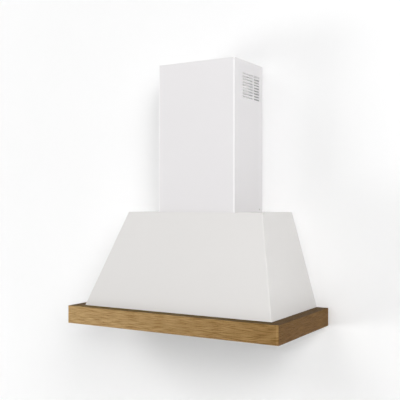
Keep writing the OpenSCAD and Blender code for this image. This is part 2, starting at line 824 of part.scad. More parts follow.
module impeller_wheel() {
    blade_d = 16;
    blade_t = 1;
    blade_turn = 25;
    disc_t = 2;
    rim_w = 5;
    color("lightgray") translate([0, wheel_y, wheel_z]) rotate([0, 90, 0]) difference() {
        union() {
            translate([0, 0, -disc_t / 2]) cylinder(r = wheel_r, h = disc_t);
            translate([0, 0, -hub_l / 2]) cylinder(r = hub_r, h = hub_l);
            for (z = [-wheel_w / 2, wheel_w / 2 - disc_t]) translate([0, 0, z]) difference() {
                cylinder(r = wheel_r, h = disc_t);
                translate([0, 0, -cut]) cylinder(r = wheel_r - rim_w, h = disc_t + 2 * cut);
            }
            for (k = [0:blade_n - 1])
                rotate([0, 0, k * 360 / blade_n]) translate([wheel_r - 0.8, 0, 0]) rotate([0, 0, blade_turn])
                    translate([-blade_d, -blade_t / 2, -(wheel_w - disc_t / 2) / 2])
                        cube([blade_d, blade_t, wheel_w - disc_t / 2]);
        }
        translate([0, 0, -hub_l]) cylinder(r = shaft_r + press_fit, h = 2 * hub_l);
    }
}

module motor_shaft() {
    x0 = -hub_l / 2 - 3;
    x1 = motor_x1 + 6;
    color("silver") translate([x0, wheel_y, wheel_z]) rotate([0, 90, 0]) cylinder(r = shaft_r, h = x1 - x0);
}

module motor_body() {
    l = motor_x1 - motor_x0;
    end_h = 6;
    end_r = [motor_r - 12, motor_r - 2];
    groove = [3, 1.5];
    color("dimgray") translate([motor_x0, wheel_y, wheel_z]) rotate([0, 90, 0]) difference() {
        union() {
            translate([0, 0, end_h]) cylinder(r = motor_r, h = l - 2 * end_h);
            cylinder(r1 = end_r[0], r2 = end_r[1], h = end_h);
            translate([0, 0, l - end_h]) cylinder(r1 = end_r[1], r2 = end_r[0], h = end_h);
        }
        for (z = [l * 0.3, l * 0.55]) translate([0, 0, z]) difference() {
            cylinder(r = motor_r + cut, h = groove[0]);
            translate([0, 0, -cut]) cylinder(r = motor_r - groove[1], h = groove[0] + 2 * cut);
        }
        translate([0, 0, -cut]) cylinder(r = shaft_r + run_fit, h = l + 2 * cut);
    }
}

// Ring round the motor with three arms that stand on rubber grommets
module motor_spider() {
    ring_w = 7;
    arm_w = 18;
    color("gray") difference() {
        union() {
            translate([spider_x, wheel_y, wheel_z]) face_side(1) cylinder(r = motor_r + ring_w, h = spider_t);
            for (a = grommet_angles) translate([spider_x, wheel_y, wheel_z]) rotate([a, 0, 0])
                translate([0, 0, -arm_w / 2]) cube([spider_t, grommet_ring + arm_w / 2, arm_w]);
        }
        translate([spider_x - cut, wheel_y, wheel_z]) face_side(1)
            cylinder(r = motor_r + run_fit, h = spider_t + 2 * cut);
        translate([spider_x, 0, 0]) at_motor_screws() face_side(1) pass_hole(wood_screw, spider_t);
    }
}

module motor_grommets() {
    color("dimgray") translate([casing_w / 2 + casing_t, 0, 0]) at_motor_screws() face_side(1) difference() {
        cylinder(r = grommet_r, h = grommet_l);
        pass_hole(wood_screw, grommet_l, thread_fit);
    }
}

module motor_screws() {
    color("silver") translate([spider_x + spider_t, 0, 0]) at_motor_screws() face_side(1)
        screw(wood_screw, spider_t + grommet_l + casing_t + screw_grip);
}

module capacitor() {
    can_r = 17;
    can_l = 52;
    cap_r = 6;
    cap_l = 4;
    can_z = wheel_z + scroll_start + 20;
    color("whitesmoke") translate([-casing_w / 2 - casing_t, duct_y, can_z]) face_side(-1) {
        cylinder(r = can_r, h = can_l);
        translate([0, 0, can_l]) cylinder(r = cap_r, h = cap_l);
    }
}

// Wiring and controls

module junction_box() {
    inner_w = junction_w - 2 * box_wall;
    inner_d = junction_d - 2 * box_wall;
    color("dimgray") translate([gland_x, gland_y, junction_z]) difference() {
        translate([-junction_w / 2, -junction_d / 2, 0]) cube([junction_w, junction_d, junction_h]);
        translate([-inner_w / 2, -inner_d / 2, box_wall]) cube([inner_w, inner_d, junction_h]);
    }
}

module terminal_block() {
    pole_n = 5;
    pole_pitch = 12;
    block_d = 20;
    block_h = 14;
    pole_r = 3;
    pole_z = 6;
    block_w = pole_n * pole_pitch;
    color("ivory") translate([gland_x, gland_y, junction_z + box_wall]) difference() {
        translate([-block_w / 2, -block_d / 2, 0]) cube([block_w, block_d, block_h]);
        for (k = [0:pole_n - 1])
            translate([(k + 0.5) * pole_pitch - block_w / 2, 0, pole_z]) cylinder(r = pole_r, h = block_h);
    }
}

module cable_gland() {
    nut_z = 3;
    nut_h = 6;
    tail = sheet_t + 6;
    color("dimgray") translate([gland_x, gland_y, canopy_z]) difference() {
        union() {
            cylinder(r = gland_r, h = gland_h);
            translate([0, 0, -tail]) cylinder(r = gland_hole_r, h = tail + cut);
            translate([0, 0, nut_z]) cylinder(r = gland_r + 2, h = nut_h, $fn = 6);
        }
        translate([0, 0, -tail - cut]) cylinder(r = gland_bore_r, h = tail + gland_h + 2 * cut);
    }
}

// Centres of the buttons in x
function button_x(k) = (k - (button_n - 1) / 2) * button_pitch;

module control_box() {
    inner_w = box_w - 2 * box_wall;
    inner_d = box_d - 2 * box_wall;
    color("dimgray") translate([0, light_y, liner_top]) difference() {
        translate([-box_w / 2, -box_d / 2, 0]) cube([box_w, box_d, box_h]);
        translate([-inner_w / 2, -inner_d / 2, -cut]) cube([inner_w, inner_d, box_h - box_wall + cut]);
        for (s = [-1, 1])
            translate([s * inner_w / 2, 0, lead_entry]) face_side(s) translate([0, 0, -cut])
                cylinder(r = lead_d / 2 + 0.2, h = box_wall + 2 * cut);
    }
}

module control_board() {
    w = box_w - 2 * box_wall;
    d = box_d - 2 * box_wall;
    color("seagreen") translate([0, light_y, liner_top + board_rise]) {
        translate([-w / 2, -d / 2, 0]) cube([w, d, board_t]);
        for (k = [0:button_n - 1])
            translate([button_x(k) - switch_w / 2, -switch_w / 2, -switch_h])
                cube([switch_w, switch_w, switch_h]);
    }
}

module control_bezel() {
    color("silver") difference() {
        translate([-bezel_w / 2, light_y - bezel_d / 2, liner_z - bezel_t]) cube([bezel_w, bezel_d, bezel_t]);
        for (k = [0:button_n - 1])
            translate([button_x(k), light_y, liner_z - bezel_t - cut])
                cylinder(r = button_r + ease, h = bezel_t + 2 * cut);
    }
}

// Button k: a cap through the bezel with a flange behind it
module button(k) {
    z0 = liner_z - bezel_t - button_proud;
    top = liner_top + board_rise - switch_h - button_travel - ease;
    edge = 0.8;
    color("gainsboro") translate([button_x(k), light_y, 0]) {
        translate([0, 0, z0 + edge]) cylinder(r = button_r, h = top - z0 - edge);
        translate([0, 0, z0]) cylinder(r1 = button_r - edge, r2 = button_r, h = edge);
        translate([0, 0, liner_z + ease]) cylinder(r = button_r + button_flange_w, h = button_flange);
    }
}
module button_light() { button(0); }
module button_off() { button(1); }
module button_speed_1() { button(2); }
module button_speed_2() { button(3); }
module button_speed_3() { button(4); }

// Lamps

module at_lamps() { for (s = [-1, 1]) translate([s * lamp_span / 2, light_y, liner_z]) children(); }

module lamp_bezels() {
    color("silver") at_lamps() rotate_extrude() {
        polygon([
            [lamp_r - 4, 0], [lamp_r - 3, -bezel_t],
            [lamp_r + 5, -bezel_t], [lamp_r + 6, -bezel_t / 2], [lamp_r + 6, 0]
        ]);
        translate([lamp_r - lamp_sleeve - ease, -0.4]) square([lamp_sleeve, 12.4]);
    }
}

module lamp_lenses() {
    color("lightcyan") at_lamps() cylinder(r = lamp_r - lamp_sleeve - 2 * ease, h = lens_t);
}

// Cup that clamps the lamp from above, with cooling fins round the lead's entry
module lamp_housings() {
    color("gray") at_lamps() translate([0, 0, sheet_t]) difference() {
        union() {
            cylinder(r = lamp_r + lamp_flange, h = 1.5);
            cylinder(r = lamp_r + 2, h = lamp_h);
        }
        translate([0, 0, -cut]) cylinder(r = lamp_r, h = lamp_h - fin_h - 4 + cut);
        difference() {
            for (k = [-3:3])
                translate([-lamp_r - 4, k * fin_pitch - (fin_pitch - fin_t) / 2, lamp_h - fin_h])
                    cube([2 * lamp_r + 8, fin_pitch - fin_t, fin_h + cut]);
            translate([0, 0, lamp_h - fin_h - cut]) cylinder(r = lead_d / 2 + 2, h = fin_h + 3 * cut);
        }
    }
}

// Baffle filters

// Frame of a filter: a C-section ring with two hooks at the back, which end in round pins that
// lie across the notches of the liner, and a slot for the latch
module filter_frame(i) {
    color("silver") {
        at_filter_hooks(i) {
            translate([-hook_w / 2, -hook_l - filter_sheet / 2, hook_z - hook_t / 2])
                cube([hook_w, hook_l + filter_sheet / 2, hook_t]);
            translate([-hook_pin_l / 2, 0, hook_z]) face_side(1) cylinder(r = hook_pin_r, h = hook_pin_l);
        }
        filter_ring(i);
    }
}

module filter_ring(i) {
    w = filter_w;
    y0 = -filter_front;
    translate([filter_x(i), 0, liner_z]) difference() {
        translate([-w / 2, y0, 0]) cube([w, filter_d, filter_t]);
        translate([-w / 2 + filter_sheet, y0 + filter_sheet, filter_sheet])
            cube([w - 2 * filter_sheet, filter_d - 2 * filter_sheet, filter_t - 2 * filter_sheet]);
        translate([-w / 2 + filter_rail, y0 + filter_rail, -cut])
            cube([w - 2 * filter_rail, filter_d - 2 * filter_rail, filter_t + 2 * cut]);
        translate([-latch_w / 2 - slot_side, y0 + tab_y - slot_side, -cut])
            cube([latch_w + 2 * slot_side, latch_travel + tab_d + 2 * slot_side, filter_sheet + 2 * cut]);
        translate([-nose_w / 2 - slot_side, y0 - cut, nose_z - slot_end])
            cube([nose_w + 2 * slot_side, filter_sheet + 2 * cut, nose_h + 2 * slot_end]);
    }
}

module filter_latch(i) {
    y0 = -filter_front;
    color("dimgray") translate([filter_x(i), y0, liner_z]) {
        translate([-latch_w / 2 - latch_shoulder, filter_sheet + ease, filter_sheet + ease])
            cube([latch_w + 2 * latch_shoulder, latch_d, latch_h]);
        translate([-latch_w / 2, tab_y, -tab_h]) cube([latch_w, tab_d, tab_h + filter_sheet + 2 * ease]);
        translate([-nose_w / 2, -filter_gap + ease, nose_z])
            cube([nose_w, filter_gap + filter_sheet + ease, nose_h]);
    }
}

// Channel of width w and height h with its web at the bottom, centred on x and running along y
module channel(w, h, l) {
    translate([-w / 2, 0, 0]) difference() {
        cube([w, l, h]);
        translate([filter_sheet, -cut, filter_sheet]) cube([w - 2 * filter_sheet, l + 2 * cut, h]);
    }
}

// Two rows of channels that cover each other's gaps, held between the lips of the frame
module filter_baffles(i) {
    open_w = filter_w - 2 * (filter_rail + ease);
    baffle_w = (open_w - (baffle_n - 1) * baffle_gap) / baffle_n;
    pitch = baffle_w + baffle_gap;
    grip = 3;
    l = filter_d - 2 * (filter_rail - grip);
    color("silver") translate([filter_x(i), -filter_front + filter_rail - grip, liner_z]) {
        for (k = [0:baffle_n - 1])
            translate([(k - (baffle_n - 1) / 2) * pitch, 0, filter_sheet]) channel(baffle_w, baffle_h, l);
        for (k = [0:baffle_n - 2])
            translate([(k - (baffle_n - 2) / 2) * pitch, 0, filter_t - filter_sheet]) mirror([0, 0, 1])
                channel(baffle_gap + 2 * baffle_lap, baffle_h, l);
    }
}

module filter_frame_left() { filter_frame(0); }
module filter_frame_middle() { filter_frame(1); }
module filter_frame_right() { filter_frame(2); }
module filter_baffles_left() { filter_baffles(0); }
module filter_baffles_middle() { filter_baffles(1); }
module filter_baffles_right() { filter_baffles(2); }
module filter_latch_left() { filter_latch(0); }
module filter_latch_middle() { filter_latch(1); }
module filter_latch_right() { filter_latch(2); }

// Leads, as round tubes along smooth curves through a few chosen points

function unit(v) = v / norm(v);
// Point on the smooth curve through p at step t between p[k] and p[k + 1]
function curve_point(p, k, t) =
    let (a = p[max(k - 1, 0)], b = p[k], c = p[k + 1], d = p[min(k + 2, len(p) - 1)])
    0.5 * (2 * b + (c - a) * t + (2 * a - 5 * b + 4 * c - d) * t * t + (3 * b - a - 3 * c + d) * t * t * t);
function curve(p, steps = 4) = concat(
    [for (k = [0:len(p) - 2]) for (s = [0:steps - 1]) curve_point(p, k, s / steps)],
    [p[len(p) - 1]]
);

// Tube of diameter d along the points p, whose ends face along first and last
module tube(p, d, first, last, side = [0, 1, 0]) {
    sides = 8;
    n = len(p);
    function way(k) = k == 0 ? first : k == n - 1 ? last : unit(p[k + 1] - p[k - 1]);
    rings = [for (k = [0:n - 1])
        let (t = way(k), u = unit(cross(t, side)), v = cross(u, t))
        each [for (j = [0:sides - 1]) p[k] + d / 2 * (cos(360 * j / sides) * u + sin(360 * j / sides) * v)]];
    skin = [for (k = [0:n - 2]) for (j = [0:sides - 1])
        let (a = k * sides + j, b = k * sides + (j + 1) % sides)
        each [[a, b, b + sides], [a, b + sides, a + sides]]];
    first_cap = [[for (j = [0:sides - 1]) sides - 1 - j]];
    last_cap = [[for (j = [0:sides - 1]) (n - 1) * sides + j]];
    polyhedron(rings, concat(first_cap, skin, last_cap));
}

// From the top of the control box, up inside the front of the canopy, to the junction box
module control_lead() {
    start = [box_w / 2 - control_lead_edge, light_y, liner_top + box_h];
    end = [gland_x + junction_w / 4, gland_y - junction_d / 2, junction_z + junction_h / 2];
    route = concat(
        [for (p = control_out) start + p],
        [for (p = control_way) [p[0], canopy_front(p[2]) + p[1], p[2]]],
        [for (p = control_in) end + p]
    );
    color("dimgray") tube(curve(route), lead_d, [0, 0, 1], [0, 1, 0], [1, 0, 0]);
}

// From the bottom of the junction box to the end of the motor
module motor_lead() {
    start = [gland_x + junction_w / 10, gland_y, junction_z];
    end = [motor_x1, wheel_y + 20, wheel_z];
    middle = [start[0] + motor_turn[0], (start[1] + end[1]) / 2, wheel_z + motor_turn[1]];
    route = concat([for (p = motor_out) start + p], [middle], [for (p = motor_in) end + p]);
    color("dimgray") tube(curve(route), lead_d, [0, 0, -1], [-1, 0, 0], [0, 1, 0]);
}

// From the top of each lamp, along the liner, to the end of the control box
module lamp_leads() {
    z0 = liner_top + lamp_h;
    z1 = liner_top + lead_entry;
    low = liner_top + lead_d / 2 + ease;
    x0 = lamp_span / 2;
    x1 = box_w / 2;
    route = concat(
        [for (p = lamp_out) [x0 - p[0], light_y, z0 + p[1]]],
        [for (p = lamp_way) [x0 - p[0], light_y, low + p[1]]],
        [for (p = lamp_in) [x1 + p[0], light_y, z1 + p[1]]]
    );
    color("dimgray") for (s = [-1, 1]) scale_x(s) tube(curve(route), lead_d, [0, 0, 1], [-1, 0, 0]);
}

canopy_shell();
canopy_top();
back_panel();
liner_panel();
liner_screws();
front_rail();
left_rail();
right_rail();
rail_screws();
corner_plates();
corner_plate_screws();
chimney_cover();
chimney_feet();
chimney_foot_screws();
chimney_extension();
chimney_bracket();
bracket_screws();
outlet_collar();
collar_screws();
damper_pin();
damper_flap_front();
damper_flap_rear();
blower_wrap();
blower_side_left();
blower_side_right();
blower_gasket();
blower_screws();
impeller_wheel();
motor_shaft();
motor_body();
motor_spider();
motor_grommets();
motor_screws();
capacitor();
junction_box();
terminal_block();
cable_gland();
control_box();
control_board();
control_bezel();
button_light();
button_off();
button_speed_1();
button_speed_2();
button_speed_3();
lamp_bezels();
lamp_lenses();
lamp_housings();
filter_frame_left();
filter_baffles_left();
filter_latch_left();
filter_frame_middle();
filter_baffles_middle();
filter_latch_middle();
filter_frame_right();
filter_baffles_right();
filter_latch_right();
control_lead();
motor_lead();
lamp_leads();
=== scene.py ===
import json
import math

import bmesh
import bpy
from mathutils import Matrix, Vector


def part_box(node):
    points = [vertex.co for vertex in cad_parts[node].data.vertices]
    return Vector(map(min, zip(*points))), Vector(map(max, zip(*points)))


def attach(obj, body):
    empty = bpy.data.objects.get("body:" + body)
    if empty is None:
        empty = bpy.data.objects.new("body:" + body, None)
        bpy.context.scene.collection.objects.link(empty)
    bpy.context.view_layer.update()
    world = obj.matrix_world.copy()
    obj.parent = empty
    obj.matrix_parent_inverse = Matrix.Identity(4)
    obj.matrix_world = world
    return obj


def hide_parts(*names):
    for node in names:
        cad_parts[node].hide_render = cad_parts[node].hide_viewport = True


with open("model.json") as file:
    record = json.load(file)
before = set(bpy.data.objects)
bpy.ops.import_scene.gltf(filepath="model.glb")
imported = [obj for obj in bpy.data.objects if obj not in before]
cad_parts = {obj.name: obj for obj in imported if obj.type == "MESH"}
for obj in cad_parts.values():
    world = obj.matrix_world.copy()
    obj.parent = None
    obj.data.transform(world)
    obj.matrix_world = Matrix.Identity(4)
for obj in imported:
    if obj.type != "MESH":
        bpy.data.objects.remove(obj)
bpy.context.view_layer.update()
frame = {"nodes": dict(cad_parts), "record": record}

# The view: a level camera to the right of the hood
CAMERA_PLACE = (1.5705, -2.8874, 0.5195)
CAMERA_TURN = math.radians(30.736)
CAMERA_LENS = 64.05
CAMERA_SHIFT = (0.00587, 0.00865)

# The room: a wall just behind the hood and the floor that it hangs above
WALL_GAP = 0.002
FLOOR_Z = -1.65
FLOOR_FRONT = -2.0
ROOM_HALF_WIDTH = 9.0
ROOM_TOP = 7.0
# Where the lamps aim, and how far from there the wall and the floor fade to plain white
HOOD_MIDDLE = (0.0, -0.2, 0.5)
WALL_FADE = (1.4, 2.6)
FLOOR_FADE = (2.2, 2.7)
# How far behind the hood's back the wall lets light through, in metres
REAR_LIGHT_REACH = 0.012

WHITE = (1.0, 1.0, 1.0)


class Nodes:
    """A node tree. In the names given to its methods, capitals are sockets and lower case is settings."""

    def __init__(self, tree):
        self.tree = tree

    def put(self, socket, value):
        if isinstance(value, bpy.types.NodeSocket):
            self.tree.links.new(value, socket)
        elif isinstance(value, tuple) and len(value) == 3 and len(socket.default_value) == 4:
            socket.default_value = (*value, 1.0)
        else:
            socket.default_value = value

    def node(self, kind, *values, **names):
        node = self.tree.nodes.new("ShaderNode" + kind)
        sockets = {key: value for key, value in names.items() if key[0].isupper()}
        for key, value in names.items():
            if key not in sockets:
                setattr(node, key, value)
        for socket, value in zip(node.inputs, values):
            self.put(socket, value)
        for key, value in sockets.items():
            self.put(node.inputs[key], value)
        return node

    def mapped(self, vector, scale, turn=(0, 0, 0), move=(0, 0, 0)):
        return self.node("Mapping", Vector=vector, Scale=scale, Rotation=turn, Location=move).outputs[0]

    def coords(self, scale=(1, 1, 1), turn=(0, 0, 0)):
        """The object's own coordinates in metres, scaled and turned."""
        return self.mapped(self.node("TexCoord").outputs["Object"], scale, turn)

    def split(self, vector):
        return self.node("SeparateXYZ", vector).outputs

    def normal(self):
        """The x, y and z of the way that the surface faces."""
        return self.split(self.node("NewGeometry").outputs["Normal"])

    def noise(self, vector, scale, detail, rough=0.5):
        made = self.node("TexNoise", Vector=vector, Scale=scale, Detail=detail, Roughness=rough)
        return made.outputs["Fac"]

    def math(self, operation, *values, clamp=False):
        return self.node("Math", *values, operation=operation, use_clamp=clamp).outputs[0]

    def span(self, value, low, high, to_low=0.0, to_high=1.0):
        """value from low to high becomes to_low to to_high, and stays within them."""
        return self.node("MapRange", value, low, high, to_low, to_high).outputs[0]

    def mix(self, factor, a, b, blend="MIX"):
        node = self.node("Mix", data_type="RGBA", blend_type=blend)
        for index, value in ((0, factor), (6, a), (7, b)):
            self.put(node.inputs[index], value)
        return node.outputs[2]

    def tint(self, colour, by):
        return self.mix(1.0, colour, by, "MULTIPLY")

    def mix_shaders(self, factor, a, b):
        return self.node("MixShader", factor, a, b).outputs[0]

    def bump(self, height, depth, strength):
        return self.node("Bump", Height=height, Distance=depth, Strength=strength).outputs[0]

    def looked_at(self, path):
        """1 for what the camera sees, also in gloss or through glass, and 0 for the light that a matt
        surface has scattered. path holds the outputs of a Light Path node."""
        mirrored = self.math("MAXIMUM", path["Is Glossy Ray"], path["Is Transmission Ray"])
        seen = self.math("MAXIMUM", path["Is Camera Ray"], mirrored)
        return self.math("SUBTRACT", seen, path["Diffuse Depth"], clamp=True)


class Shader(Nodes):
    """One material and its node tree."""

    def __init__(self, name, **sockets):
        self.material = bpy.data.materials.new(name)
        self.material.use_nodes = True
        super().__init__(self.material.node_tree)
        self.surface = self.tree.nodes["Principled BSDF"]
        self.out = self.tree.nodes["Material Output"]
        self.set(**sockets)

    def set(self, **sockets):
        for key, value in sockets.items():
            self.put(self.surface.inputs[key.replace("_", " ")], value)
        return self.material


def srgb(red, green, blue):
    """A colour given as 0 to 255 on screen, as the linear values that shaders use."""
    def linear(level):
        level /= 255
        return level / 12.92 if level <= 0.04045 else ((level + 0.055) / 1.055) ** 2.4
    return tuple(linear(level) for level in (red, green, blue))


def darker(colour, factor):
    return tuple(level * factor for level in colour)


def paler(colour, amount):
    return tuple(level + amount for level in colour)


# Materials

# How much longer than high the ovals of the oak's figure are, turned over
FIGURE_SLOPE = 0.1
# How far the oak's rings lean, and how far its two waves bend them, in metres
RING_LEAN = 0.8
SWAY, FORK = 0.016, 0.005
# Half the length of the oak band along the wall
OAK_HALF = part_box("front_rail")[1][0]


def powder_coat(name, colour, bend_highlight, bend_at, slope, bend_width):
    """Smooth satin paint with a faint orange peel. A painted highlight of the paler colour bend_highlight
    runs along the corners of a sheet, on their front side, where |x| + |y| + slope z comes within
    bend_width of bend_at."""
    m = Shader(name, Specular_IOR_Level=0.35)
    place = m.coords()
    cloud = m.noise(place, 3.0, 3.0)
    speck = m.noise(place, 420.0, 2.0)
    peel = m.noise(place, 650.0, 1.5)
    x, y, z = m.split(place)
    corner = m.math("ADD", m.math("ABSOLUTE", x), m.math("MULTIPLY_ADD", z, slope, m.math("ABSOLUTE", y)))
    _, forward, up = m.normal()
    edge = m.math("MULTIPLY", m.span(corner, bend_at - bend_width, bend_at), m.span(forward, -0.5, -0.8))
    tone = m.mix(m.span(cloud, 0.3, 0.7), darker(colour, 0.985), colour)
    tone = m.mix(m.span(speck, 0.35, 0.65, 0.0, 0.35), tone, darker(colour, 0.97))
    # Painted highlight along the front side of the sheet's corners
    tone = m.mix(edge, tone, bend_highlight)
    # Faces that look straight up are darker, as painted shade
    tone = m.mix(m.span(up, 0.8, 0.97), tone, darker(colour, 0.9))
    return m.set(Base_Color=tone, Roughness=m.span(cloud, 0.3, 0.7, 0.52, 0.6),
                 Normal=m.bump(peel, 0.00012, 0.25))


def oak(name, light, dark, along, middle, top, highlit_end=1.0):
    """Oiled oak cut flat, its grain along one axis and its figure round the point middle, given as
    (along, across). light and dark each hold the colours of the board's two ends, and the faces that
    look up are darkened by top as painted shade. A painted highlight makes the board paler where its
    grain coordinate comes near highlit_end."""
    m = Shader(name, Specular_IOR_Level=0.06)
    # Grain coordinates: x runs with the grain, and y and z across it
    grain = m.coords(turn=(0, 0, -math.pi / 2) if along == "Y" else (0, 0, 0))
    sway = m.noise(m.mapped(grain, (5.0, 18.0, 18.0)), 1.0, 2.0)
    fork = m.noise(m.mapped(grain, (16.0, 60.0, 60.0)), 1.0, 1.0)
    x, y, z = m.split(grain)
    depth = m.math("ADD", z, m.math("MULTIPLY", y, RING_LEAN))
    depth = m.math("ADD", depth, m.math("MULTIPLY_ADD", sway, SWAY, -SWAY / 2 - middle[1]))
    depth = m.math("ADD", depth, m.math("MULTIPLY_ADD", fork, FORK, -FORK / 2))
    far = m.math("MULTIPLY", m.math("SUBTRACT", x, middle[0]), FIGURE_SLOPE)
    # The growth rings show as long ovals round the middle of the figure
    ring = m.math("SQRT", m.math("ADD", m.math("MULTIPLY", depth, depth), m.math("MULTIPLY", far, far)))
    laid = m.node("CombineXYZ", x, ring, 0.0).outputs[0]

    def streak(length, pitch, detail, move):
        """Streaks along the rings, of about this length and this far apart, in metres."""
        place = m.mapped(laid, (1 / length, 1 / pitch, 1.0), move=(move, move, 0))
        return m.noise(place, 1.0, detail, 0.55)

    bands = m.span(streak(0.5, 0.016, 2.0, 1.0), 0.36, 0.64)
    flecks = m.span(streak(0.065, 0.0026, 0.0, 5.0), 0.42, 0.64)
    fibres = m.span(streak(0.06, 0.0016, 1.0, 9.0), 0.34, 0.66)
    pores = m.span(streak(0.012, 0.0006, 0.0, 13.0), 0.55, 0.68)
    # Painted light: the tone shifts from one end of the board to the other, the front board paler at its
    # left end
    board = m.span(x, -0.5, 0.5)
    pale, brown = m.mix(board, light[0], light[1]), m.mix(board, dark[0], dark[1])
    amount = m.math("MULTIPLY_ADD", bands, 0.06, m.math("MULTIPLY", fibres, 0.42))
    tone = m.mix(m.math("MULTIPLY_ADD", flecks, 0.52, amount), pale, brown)
    in_pores = m.math("MULTIPLY", pores, m.math("MULTIPLY_ADD", flecks, 0.35, 0.2))
    tone = m.mix(in_pores, tone, m.tint(brown, (0.4, 0.4, 0.4)))
    # Painted shade: faces that look up are darkened by top
    tone = m.mix(m.span(m.normal()["Z"], 0.6, 0.95), tone, m.tint(tone, top))
    # A painted highlight: paler along the lower edge and down the end
    end = m.span(x, highlit_end - 0.0105, highlit_end - 0.0085, 0.0, 0.8)
    foot = m.span(z, 0.007, 0.001, 0.0, 0.25)
    tone = m.mix(m.math("MAXIMUM", end, foot), tone, m.tint(tone, (1.24, 1.26, 1.34)))
    height = m.math("SUBTRACT", m.math("MULTIPLY", fibres, 0.4), pores)
    return m.set(Base_Color=tone, Roughness=m.span(fibres, 0.0, 1.0, 0.5, 0.64),
                 Normal=m.bump(height, 0.0003, 0.5))


def brushed(name, colour, along, rough):
    """Stainless sheet brushed along one axis."""
    m = Shader(name, Metallic=1.0)
    with_lines, across = 4.0, 1500.0
    scale = (with_lines, across, across) if along == "X" else (across, with_lines, across)
    lines = m.noise(m.coords(scale), 1.0, 3.0, 0.7)
    smear = m.noise(m.coords(), 7.0, 3.0)
    tone = m.mix(m.span(lines, 0.3, 0.7), darker(colour, 0.92), colour)
    rougher = m.math("ADD", m.span(lines, 0.3, 0.7, rough - 0.02, rough + 0.05),
                     m.span(smear, 0.4, 0.7, 0.0, 0.06))
    return m.set(Base_Color=tone, Roughness=rougher, Normal=m.bump(lines, 0.00004, 0.2))


def galvanised(name, colour):
    """Zinc-dipped sheet with its spangle."""
    m = Shader(name, Metallic=0.85)
    warp = m.node("TexNoise", Vector=m.coords(), Scale=60.0, Detail=1.0).outputs["Color"]
    place = m.mix(0.012, m.coords(), warp)
    cells = m.node("TexVoronoi", Vector=place, Scale=75.0, feature="F1").outputs["Color"]
    shade = m.node("SeparateColor", cells).outputs[0]
    dull = m.noise(m.coords(), 5.0, 4.0)
    tone = m.mix(m.span(shade, 0.0, 1.0), darker(colour, 0.84), colour)
    tone = m.mix(m.span(dull, 0.45, 0.8, 0.0, 0.3), tone, darker(colour, 0.7))
    return m.set(Base_Color=tone, Roughness=m.span(shade, 0.0, 1.0, 0.34, 0.52),
                 Normal=m.bump(shade, 0.00006, 0.3))


def plated(name, colour, rough=0.28):
    """Small turned or plated metal."""
    m = Shader(name, Metallic=1.0)
    wear = m.noise(m.coords(), 900.0, 3.0)
    tone = m.mix(m.span(wear, 0.35, 0.7), colour, darker(colour, 0.9))
    return m.set(Base_Color=tone, Roughness=m.span(wear, 0.3, 0.7, rough, rough + 0.1),
                 Normal=m.bump(wear, 0.00002, 0.25))


def cast(name, colour):
    """Die-cast aluminium with a granular skin."""
    m = Shader(name, Metallic=0.9)
    grain = m.noise(m.coords(), 900.0, 3.0)
    stain = m.noise(m.coords(), 30.0, 3.0)
    tone = m.mix(m.span(stain, 0.35, 0.7), colour, darker(colour, 0.78))
    return m.set(Base_Color=tone, Roughness=m.span(grain, 0.3, 0.7, 0.42, 0.62),
                 Normal=m.bump(grain, 0.0002, 0.5))


def moulded(name, colour, rough=0.45):
    """Moulded plastic with a fine sparked texture."""
    m = Shader(name)
    spark = m.noise(m.coords(), 1400.0, 2.0)
    cloud = m.noise(m.coords(), 18.0, 2.0)
    tone = m.mix(m.span(cloud, 0.3, 0.7), colour, darker(colour, 0.88))
    return m.set(Base_Color=tone, Roughness=m.span(cloud, 0.3, 0.7, rough, rough + 0.1),
                 Normal=m.bump(spark, 0.0001, 0.4))


def enamel(name, colour):
    """Gloss enamel on the motor."""
    m = Shader(name, Coat_Weight=0.4, Coat_Roughness=0.2)
    run = m.noise(m.coords(), 90.0, 2.0)
    dust = m.noise(m.coords(), 700.0, 3.0)
    tone = m.mix(m.span(dust, 0.5, 0.8, 0.0, 0.5), colour, paler(colour, 0.05))
    return m.set(Base_Color=tone, Roughness=m.span(dust, 0.3, 0.7, 0.3, 0.5),
                 Normal=m.bump(run, 0.0003, 0.3))


def circuit(name):
    """Green solder mask with tracks and tinned pads."""
    m = Shader(name, Coat_Weight=0.3, Coat_Roughness=0.2)
    black = (0.0, 0.0, 0.0)
    tracks = m.node("TexBrick", Vector=m.coords(), Scale=260.0, Color1=black, Color2=black, Mortar=WHITE,
                    **{"Mortar Size": 0.05}).outputs["Fac"]
    pads = m.node("TexVoronoi", Vector=m.coords(), Scale=240.0).outputs["Distance"]
    tone = m.mix(tracks, srgb(18, 84, 46), srgb(34, 112, 62))
    tone = m.mix(m.span(pads, 0.16, 0.12), tone, srgb(196, 190, 170))
    return m.set(Base_Color=tone, Roughness=m.span(pads, 0.1, 0.2, 0.3, 0.45),
                 Normal=m.bump(tracks, 0.0001, 0.5))


def frosted(name):
    """Lamp lens, sand-blasted inside."""
    m = Shader(name, Transmission_Weight=0.7, IOR=1.49)
    frost = m.noise(m.coords(), 800.0, 3.0)
    tone = m.mix(m.span(frost, 0.3, 0.7), srgb(246, 246, 240), srgb(232, 233, 228))
    return m.set(Base_Color=tone, Roughness=m.span(frost, 0.3, 0.7, 0.12, 0.2),
                 Normal=m.bump(frost, 0.0001, 0.4))


def sheath(name, colour):
    """Extruded round cable sheath."""
    m = Shader(name)
    draw = m.noise(m.coords(), 260.0, 3.0)
    tone = m.mix(m.span(draw, 0.3, 0.7), colour, paler(colour, 0.02))
    return m.set(Base_Color=tone, Roughness=m.span(draw, 0.3, 0.7, 0.42, 0.58),
                 Normal=m.bump(draw, 0.0001, 0.3))


